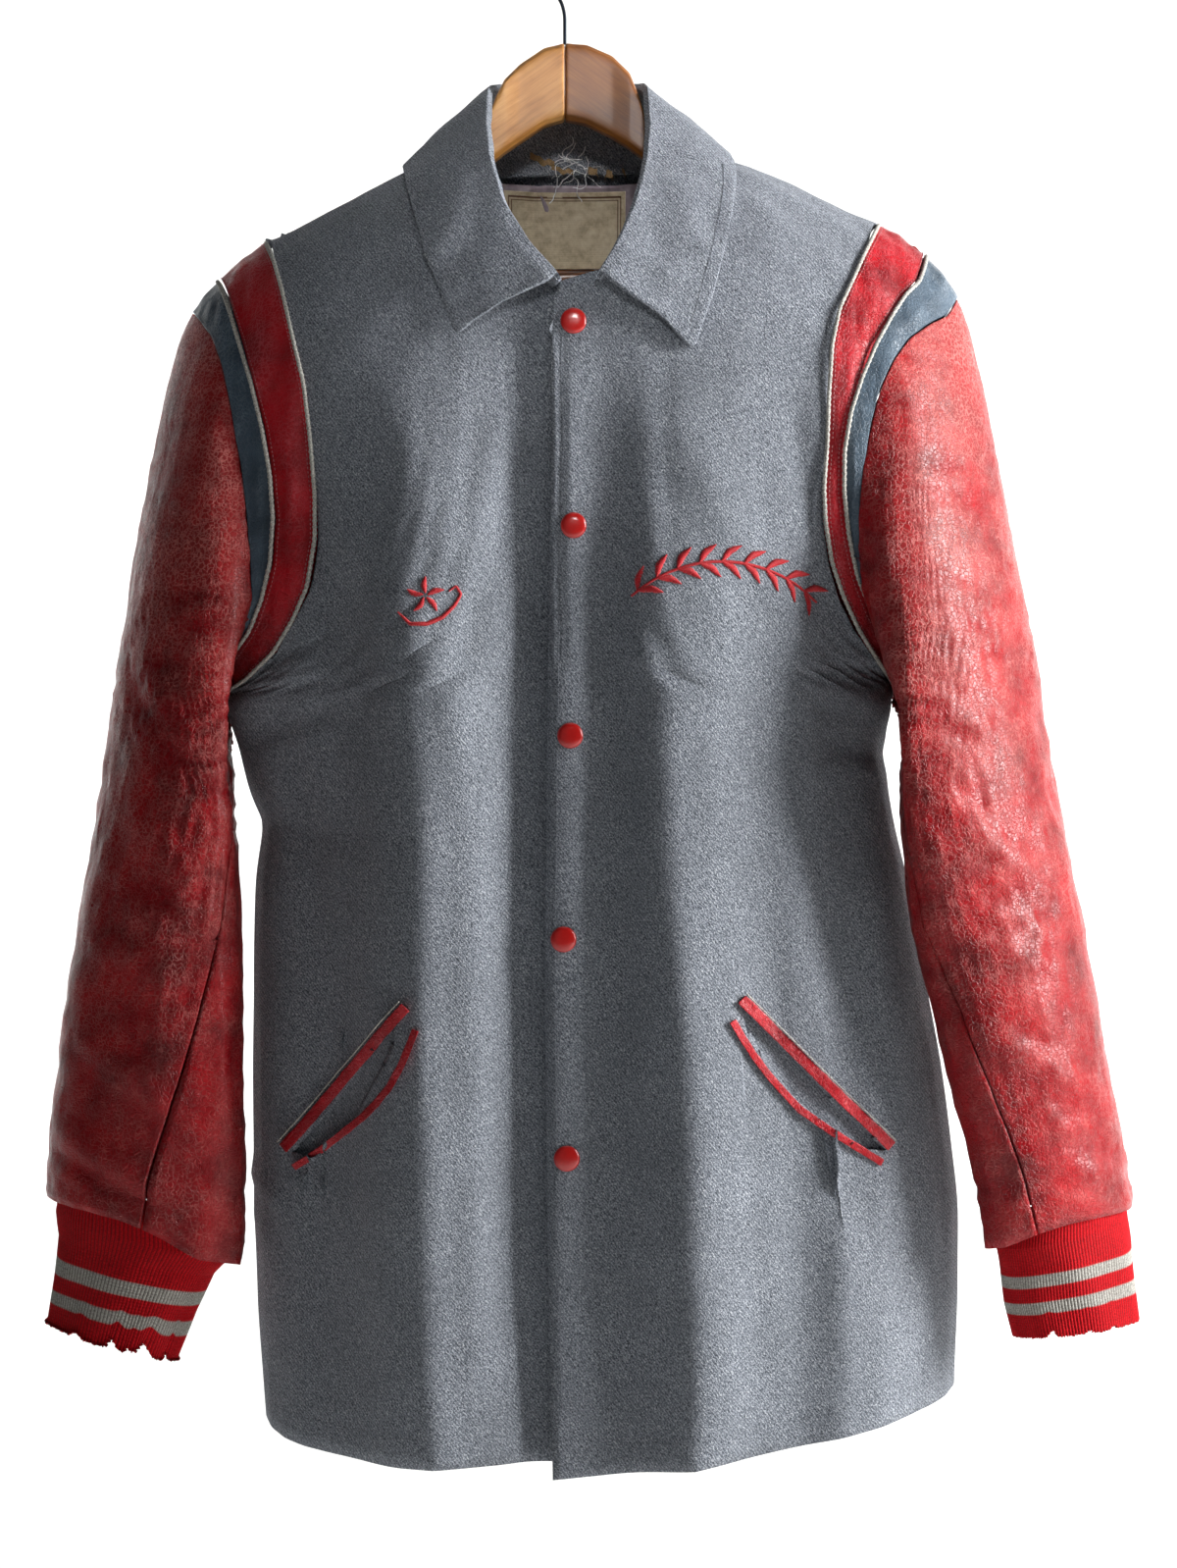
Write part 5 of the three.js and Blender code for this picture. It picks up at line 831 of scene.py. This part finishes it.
def snapCap(number):
    node = nodeMesh(f"snap_{number}")[0]
    node = node + (onDrape(node, "front_right").mean(axis=0) - node.mean(axis=0))
    low, high = node.min(axis=0), node.max(axis=0)
    turns = np.linspace(0, 2 * math.pi, 40, endpoint=False)
    radius = snapLook["radius"] * mm
    points = []
    for r, h in snapLook["profile"]:
        for turn in turns:
            points.append(((low[0] + high[0]) / 2 + max(r, 0.004) * radius * math.cos(turn),
                           high[1] + (0.36 - h) * mm,
                           (low[2] + high[2]) / 2 + max(r, 0.004) * radius * math.sin(turn)))
    faces = gridFaces(len(snapLook["profile"]), len(turns), closeColumns=True)
    faces.append(tuple(range(len(turns)))[::-1])
    addObject(f"snap_cap_{number}", meshOf(f"snap_cap_{number}", points, faces), enamel, [f"snap_{number}"])


for number in range(1, 6):
    snapCap(number)


# Corded pipings: two strands twisted along the solid's own middle line
cordLook = {"pitch": 3.6, "lobe": 0.34}


def cordLine(name, reach, closed):
    points = nodeMesh(name)[0]
    gaps = np.linalg.norm(points[:, None] - points[None], axis=2) < reach * mm
    middles = (gaps[:, :, None] * points[None]).sum(axis=1) / gaps.sum(axis=1, keepdims=True)
    if closed:
        centre = middles.mean(axis=0)
        order = np.argsort(np.arctan2(middles[:, 2] - centre[2], middles[:, 1] - centre[1]))
    else:
        order = np.argsort(middles[:, 0])
    line = middles[order]
    keep = [0]
    for i in range(1, len(line)):
        if np.linalg.norm(line[i] - line[keep[-1]]) > 2.5 * mm:
            keep.append(i)
    if closed and np.linalg.norm(line[keep[-1]] - line[0]) < 2.5 * mm:
        keep.pop()
    radius = np.median(np.linalg.norm(points - middles, axis=1))
    return rounded(line[keep], 0.9 * mm, 12, closed), radius


cordLines = {}


def cordPiece(name, reach, closed, up, panel=None):
    line, radius = cordLine(name, reach, closed)
    if panel:
        line = onDrape(line, panel, 0.7)
    if closed:  # sunk a little over the shoulder, where the seam pulls it down
        line[:, 2] -= 2.2 * mm * smoothStep((line[:, 2] - line[:, 2].max() + 34 * mm) / (34 * mm))
    cordLines[name] = line
    pitch = cordLook["pitch"] * mm

    def radiusAt(length, turns):
        return radius * (1.05 - cordLook["lobe"] * np.abs(np.sin(turns + math.pi * length / pitch)))

    points, faces = tube(line, radiusAt, 12, closed, up)
    addObject("cord_" + name, meshOf("cord_" + name, points, faces), cord, [name])


for side in ("left", "right"):
    for place in ("body", "band"):
        cordPiece(f"piping_{place}_{side}", 2.9, True, (1, 0.02, 0.001))
    cordPiece(f"pocket_cord_{side}", 1.9, False, (0, 1, 0.001), "front_" + side)
print("snaps and cords made")

# Pockets: leather welt and lip, and the wool that shows in the gape
for side in ("left", "right"):
    softSolid(f"pocket_welt_{side}", f"leather_welt_{side}", bandLeather, 3, 5,
              (0.35, 9),
              {"wearAndSheen": lambda points: 0.5 + 0.8 * noiseAt(points, (0.02,) * 3, 2, 1.1)},
              rides="front_" + side, extra=0.7)
    softSolid(f"pocket_lip_{side}", f"leather_lip_{side}", bandLeather, 3, 5,
              (0.3, 9),
              {"wearAndSheen": lambda points: 0.5 + 0.8 * noiseAt(points, (0.02,) * 3, 2, 4.1)},
              rides="front_" + side, extra=0.7)
    softSolid(f"pocket_facing_{side}", f"wool_facing_{side}", wool, 3, 3,
              rides="front_" + side)
print("pockets made")


# Lining and label inside the neck
def patch(name, times, wall, seed, height, size, rows=()):
    points, faces = outerSkin(*nodeMesh(name), wall * mm, lambda middles: np.tile((0.0, -1.0, 0.0), (len(middles), 1)))
    points, faces = refine(points, faces, times)
    points = relax(points, faces, 8)
    normals = pointNormals(points, faces)
    rise = height * mm * noiseAt(points, np.array(size) * mm, 2, seed) + creases(points, normals, rows)
    points = points + rise[:, None] * normals
    finishedShell(name, points, faces)
    return points, faces


liningFolds = [(-62, -165, -40, -225, 5, 1.6), (-50, -160, -30, -185, 4, -1.2), (52, -168, 60, -230, 4, 1.4),
               (-68, -200, -48, -270, 6, -1.4), (30, -158, 46, -182, 4, 1.2), (-20, -158, -12, -174, 3, 1.2)]
points, faces = patch("neck_lining", 4, 1.2, 3.3, 1.2, (22, 22, 60), liningFolds)
lining = addObject("satin_lining", meshOf("satin_lining", points, faces), satin, ["neck_lining"])
turnEdge(lining, 1.0 * mm)

# The label is bare: woven border lines only
labelLook = {"x": (-41, 38), "z": (-213, -162), "insets": ((2.6, 3.5), (4.6, 5.1))}
points, faces = patch("neck_label", 5, 1.0, 8.2, 0.5, (26, 26, 20))
inside = np.minimum.reduce([points[:, 0] / mm - labelLook["x"][0], labelLook["x"][1] - points[:, 0] / mm,
                            points[:, 2] / mm - labelLook["z"][0], labelLook["z"][1] - points[:, 2] / mm])
border = np.zeros(len(points))
for low, high in labelLook["insets"]:
    border[(inside > low) & (inside < high)] = 1
label = addObject("woven_label", meshOf("woven_label", points, faces, {"border": border}), labelCloth,
                  ["neck_label"])
turnEdge(label, 0.5 * mm)
print("lining and label made")

# Hanger: arms with eased edges, a turned bar and the wire hook
for side, material in (("left", leftWood), ("right", rightWoodShaded)):
    points, faces = refine(*nodeMesh(f"hanger_arm_{side}"), 3)
    points = relax(points, faces, 5)
    addObject(f"wood_arm_{side}", meshOf(f"wood_arm_{side}", points, faces), material, [f"hanger_arm_{side}"])

node = nodeMesh("hanger_bar")[0]
low, high = node.min(axis=0), node.max(axis=0)
middle = (low + high) / 2
path = np.stack([np.linspace(low[0], high[0], 30), np.full(30, middle[1]), np.full(30, middle[2])], axis=1)
points, faces = tube(path, lambda s, t: (high[2] - low[2]) / 2 + 0 * s + 0 * t, 32)
addObject("wood_bar", meshOf("wood_bar", points, faces), barWood, ["hanger_bar"])

hookLook = {"radius": 20, "wire": 1.1, "from": -0.72, "to": 0.62, "stem": [(-1, -78.7), (-1, -60), (-3, -52)]}
reach = hookLook["radius"] + hookLook["wire"]
turns = np.linspace(hookLook["from"], hookLook["to"], 26) * math.pi
hookPath = [(x, 0, z) for x, z in hookLook["stem"]]
hookPath += [(math.sin(t) * reach, 0, -hookLook["radius"] + math.cos(t) * reach) for t in turns]
hookPath = rounded(np.array(hookPath) * mm, 1.2 * mm, 8)
points, faces = tube(hookPath, lambda s, t: hookLook["wire"] * mm + 0 * s + 0 * t, 14)
addObject("wire_hook", meshOf("wire_hook", points, faces), wire, ["hanger_hook"])
print("hanger made")


# The lowest or foremost edge of the panels, for laying stitches beside it
def hemHeight(names, x):
    return min(panels[name][0][np.abs(panels[name][0][:, 0] - x * mm) < 5 * mm, 2].min() / mm for name in names
               if (np.abs(panels[name][0][:, 0] - x * mm) < 5 * mm).any())


def hemLine(names, xs, facing, rise=17.5):
    found = [onShell(names[0], x, hemHeight(names, x) + rise, facing) for x in xs]
    return np.array([f[0] for f in found]), np.array([f[1] for f in found])


def edgeOfPlacket(z):
    points = panels["front_right"][0]
    near = points[(np.abs(points[:, 2] - z * mm) < 4 * mm) & (np.abs(points[:, 0]) < 0.04)]
    return near[:, 0].min() / mm


threadLook = {
    "top": {"pitch": 3.1, "share": 0.72, "radius": 0.3},
    "hem": {"pitch": 3.4, "share": 0.6, "radius": 0.27},
    "leather": {"pitch": 2.7, "share": 0.62, "radius": 0.3},
}


def sewn(title, paths, look, material):
    points, faces = stitches(paths, look)
    addObject(title, meshOf(title, points, faces), material)


collarPaths = [pathOn("collar", collarLines[key], 3.0) for key in ("left", "right")]
collarPaths.append(pathOn("collar", collarLines["behind"], 3.0, 1))
sewn("thread_collar", collarPaths, threadLook["top"], greyThread)

placketHeights = np.arange(-262, -925, -6.0)
placket = [(edgeOfPlacket(z) + 6.2, z) for z in placketHeights]
sewn("thread_placket", [pathOn("front_right", placket, 3.0)], threadLook["top"], greyThread)
hems = [hemLine(["front_left"], np.arange(-184, -13, 4.0), -1),
        hemLine(["front_right"], np.arange(-2, 226, 4.0), -1),
        hemLine(["back"], np.arange(-178, 214, 4.0), 1)]
sewn("thread_hem", hems, threadLook["hem"], greyThread)


# Stitches beside a piping: the line is moved towards another piping and laid on the named piece
def besideCord(line, other, distance, name):
    tree = other[np.argmin(np.linalg.norm(line[:, None] - other[None], axis=2), axis=1)]
    way = tree - line
    way /= np.linalg.norm(way, axis=1, keepdims=True)
    places, normals = [], []
    for spot in line + way * distance * mm:
        place, normal, _, away = shells[name].find_nearest(Vector(spot))
        if away < 5 * mm:
            places.append(np.array(place))
            normals.append(np.array(normal))
    places, normals = np.array(places), np.array(normals)
    out = places - line.mean(axis=0)
    return places, normals * np.sign(np.sum(normals * out, axis=1) + 1e-9)[:, None]


for side in ("left", "right"):
    outerLine, innerLine = cordLines[f"piping_band_{side}"], cordLines[f"piping_body_{side}"]
    sewn(f"thread_band_{side}", [besideCord(outerLine, innerLine, 3.2, f"band_red_{side}"),
                                 besideCord(innerLine, outerLine, 3.0, f"band_red_{side}")],
         threadLook["leather"], pinkThread)
print("stitches made")


# Satin-stitch embroidery: fine threads side by side across each stroke
satinLook = {"pitch": 0.42, "radius": 0.26, "rise": 0.9}


def satinStroke(name, corners, widths):
    path, normals = pathOn(name, corners, satinLook["pitch"])
    path, normals = path[:], normals[:]
    ahead = np.gradient(path, axis=0)
    ahead /= np.linalg.norm(ahead, axis=1, keepdims=True)
    across = np.cross(normals, ahead)
    share = np.linspace(0, 1, len(path))
    half = np.interp(share, np.linspace(0, 1, len(widths)), widths) / 2 * mm
    parts = []
    for i in range(0, len(path)):
        lean = ahead[i] * satinLook["pitch"] * mm * dice.uniform(-0.5, 0.9)
        reach = half[i] * dice.uniform(0.94, 1.06)
        spots = np.array([path[i] + across[i] * reach * s + lean * s + normals[i] * satinLook["rise"] * mm * r
                          for s, r in ((-1, 0.0), (-0.6, 0.8), (0, 1.0), (0.6, 0.8), (1, 0.0))])
        parts.append(tube(spots, lambda s, t: satinLook["radius"] * mm + 0 * s + 0 * t, 4))
    return parts


def leaf(x, z, turn, length, width):
    turn = math.radians(turn)
    bend = 0.12 * length
    corners = [(x, z), (x + length * 0.5 * math.cos(turn) - bend * math.sin(turn),
                        z + length * 0.5 * math.sin(turn) + bend * math.cos(turn)),
               (x + length * math.cos(turn), z + length * math.sin(turn))]
    return corners, (0.5, width * 0.8, width, width * 0.75, 0.5)


# Two plain ornaments of no maker: an arched sprig on one side, a small star over a curl on the other
sprigLook = {"centre": (95.0, -497.0), "radius": 84.0, "from": 131.0, "to": 47.0, "leaves": 9,
             "length": 15.0, "wide": 4.2, "stem": 1.7}
parts = []
cx, cz = sprigLook["centre"]
stem = [(cx + sprigLook["radius"] * math.cos(math.radians(a)), cz + sprigLook["radius"] * math.sin(math.radians(a)))
        for a in np.linspace(sprigLook["from"], sprigLook["to"], 15)]
parts += satinStroke("front_right", stem, (1.2, sprigLook["stem"], sprigLook["stem"], 1.2))
for a in np.linspace(sprigLook["from"] - 3, sprigLook["to"] + 7, sprigLook["leaves"]):
    x = cx + sprigLook["radius"] * math.cos(math.radians(a))
    z = cz + sprigLook["radius"] * math.sin(math.radians(a))
    for lift in (38, -42):
        corners, widths = leaf(x, z, a - 90 + lift, sprigLook["length"], sprigLook["wide"])
        parts += satinStroke("front_right", corners, widths)
points, faces = joined(parts)
addObject("embroidery_right", meshOf("embroidery_right", points, faces), redThread)

starLook = {"centre": (-83.0, -434.0), "size": 9.5, "wide": 3.4}
parts = []
for k in range(5):
    turn = 90 + 72 * k
    x, z = starLook["centre"]
    corners, widths = leaf(x + 1.6 * math.cos(math.radians(turn)), z + 1.6 * math.sin(math.radians(turn)), turn,
                           starLook["size"], starLook["wide"])
    parts += satinStroke("front_left", corners, widths)
curl = [(-99, -444), (-92, -451), (-82, -451), (-73, -447), (-66, -440), (-62, -433), (-65, -428), (-69, -431)]
parts += satinStroke("front_left", curl, (0.8, 2.2, 2.6, 2.2, 1.6, 0.9))
points, faces = joined(parts)
addObject("embroidery_left", meshOf("embroidery_left", points, faces), redThread)
print("embroidery made")

# Broken white threads and frayed tape at the neck seam
tuftLook = {"threads": 16, "radius": 0.32}
parts = []
for k in range(tuftLook["threads"]):
    x, z = dice.uniform(-5, 13), dice.uniform(-150, -140)
    place, normal = onShell("collar", x, z)
    spots = [place]
    way = Vector((dice.uniform(-1, 1), -0.15, dice.uniform(-0.7, 0.7))).normalized()
    for _ in range(dice.randint(6, 14)):
        turned = Vector((dice.uniform(-1, 1), dice.uniform(-0.4, 0.4), dice.uniform(-1, 1)))
        way = (way + turned * 0.75).normalized()
        spots.append(spots[-1] + np.array(way) * 1.9 * mm + normal * 0.1 * mm)
    path = rounded(np.array(spots), 0.6 * mm, 4)
    parts.append(tube(path, lambda s, t: tuftLook["radius"] * mm + 0 * s + 0 * t, 5))
points, faces = joined(parts)
addObject("thread_tuft", meshOf("thread_tuft", points, faces), paleThread)

parts = []
for x1, z1, x2, z2, wide in ((-24, -141, -8, -146, 4.2), (-10, -148, 4, -151, 3.2), (14, -150, 30, -153, 4.6),
                             (28, -152, 44, -158, 3.4), (36, -150, 46, -164, 2.6)):
    rows = []
    for share in np.linspace(0, 1, 12):
        x, z = x1 + (x2 - x1) * share, z1 + (z2 - z1) * share + 0.9 * math.sin(share * 9)
        place, normal = onShell("collar", x, z)
        for k in (-1, 0, 1):
            frayed = wide / 2 * k * (1 + 0.3 * math.sin(share * 17 + k))
            rows.append(place + normal * (1.0 + 0.6 * math.cos(share * 11 + k)) * mm + np.array([0, 0, frayed * mm]))
    parts.append((np.array(rows), gridFaces(12, 3)))
points, faces = joined(parts)
addObject("frayed_tape", meshOf("frayed_tape", points, faces), tanCanvas)
print("neck threads made")




# Floor and backdrop in one soft curve, out of the way of the light
def makeStage():
    look = {"floor": -1.32, "back": 1.5, "front": -3.0, "half": 4.5, "bend": 0.5, "top": 3.0}
    profile = [(look["front"], look["floor"])]
    for k in range(13):
        turn = k / 12 * math.pi / 2
        profile.append((look["back"] - look["bend"] + look["bend"] * math.sin(turn),
                        look["floor"] + look["bend"] - look["bend"] * math.cos(turn)))
    profile.append((look["back"], look["top"]))
    points = [(x, y, z) for y, z in profile for x in (-look["half"], look["half"])]
    mesh = meshOf("backdrop", points, gridFaces(len(profile), 2))
    # Matt white paper: even and nearly pure white
    paper, tree, shader, place = newMaterial("backdropPaper", {"Roughness": 0.9, "Specular IOR Level": 0.1})
    shader.inputs["Base Color"].default_value = linear("#f4f4f2")
    mesh.materials.append(paper)
    backdrop = bpy.data.objects.new("backdrop", mesh)
    bpy.context.scene.collection.objects.link(backdrop)


def areaLight(name, place, target, size, power, spread=180, colour="#ffffff"):
    lamp = bpy.data.lights.new(name, "AREA")
    lamp.shape, lamp.size, lamp.size_y = "RECTANGLE", size[0], size[1]
    lamp.energy = power
    lamp.spread = math.radians(spread)
    lamp.color = linear(colour)[:3]
    holder = bpy.data.objects.new(name, lamp)
    holder.location = place
    holder.rotation_euler = (Vector(target) - Vector(place)).to_track_quat("-Z", "Y").to_euler()
    bpy.context.scene.collection.objects.link(holder)


makeStage()
middle = (0.014, 0, -0.55)
areaLight("key", (2.4, -0.52, 0.15), middle, (0.8, 1.5), 150)
areaLight("fill", (-0.9, -2.6, -0.2), middle, (1.4, 1.8), 0.8)
areaLight("backdropLeft", (-1.5, 0.55, -0.4), (-1.2, 1.5, -0.5), (0.5, 2.4), 15, 120)
areaLight("backdropRight", (1.5, 0.55, -0.4), (1.2, 1.5, -0.5), (0.5, 2.4), 15, 120)
areaLight("overhead", (0.3, -0.3, 1.4), (0, 0.2, -0.5), (1.4, 0.8), 3.5)
areaLight("neckFill", (0.1, -1.9, 0.35), (0.0, 0.05, -0.19), (0.3, 0.3), 0.12, 14)

world = bpy.data.worlds.new("studio")
bpy.context.scene.world = world
world.use_nodes = True
sky = world.node_tree.nodes["Background"]
sky.inputs["Color"].default_value = linear("#e8ecf2")
sky.inputs["Strength"].default_value = 0.015

camera = bpy.data.cameras.new("camera")
camera.lens = 65.4
holder = bpy.data.objects.new("camera", camera)
holder.location = (0.014, -1.8, -0.546)
holder.rotation_euler = (math.pi / 2, 0, 0)
bpy.context.scene.collection.objects.link(holder)
bpy.context.scene.camera = holder
bpy.context.scene.view_settings.view_transform = "Standard"
print("stage, lights and camera made")
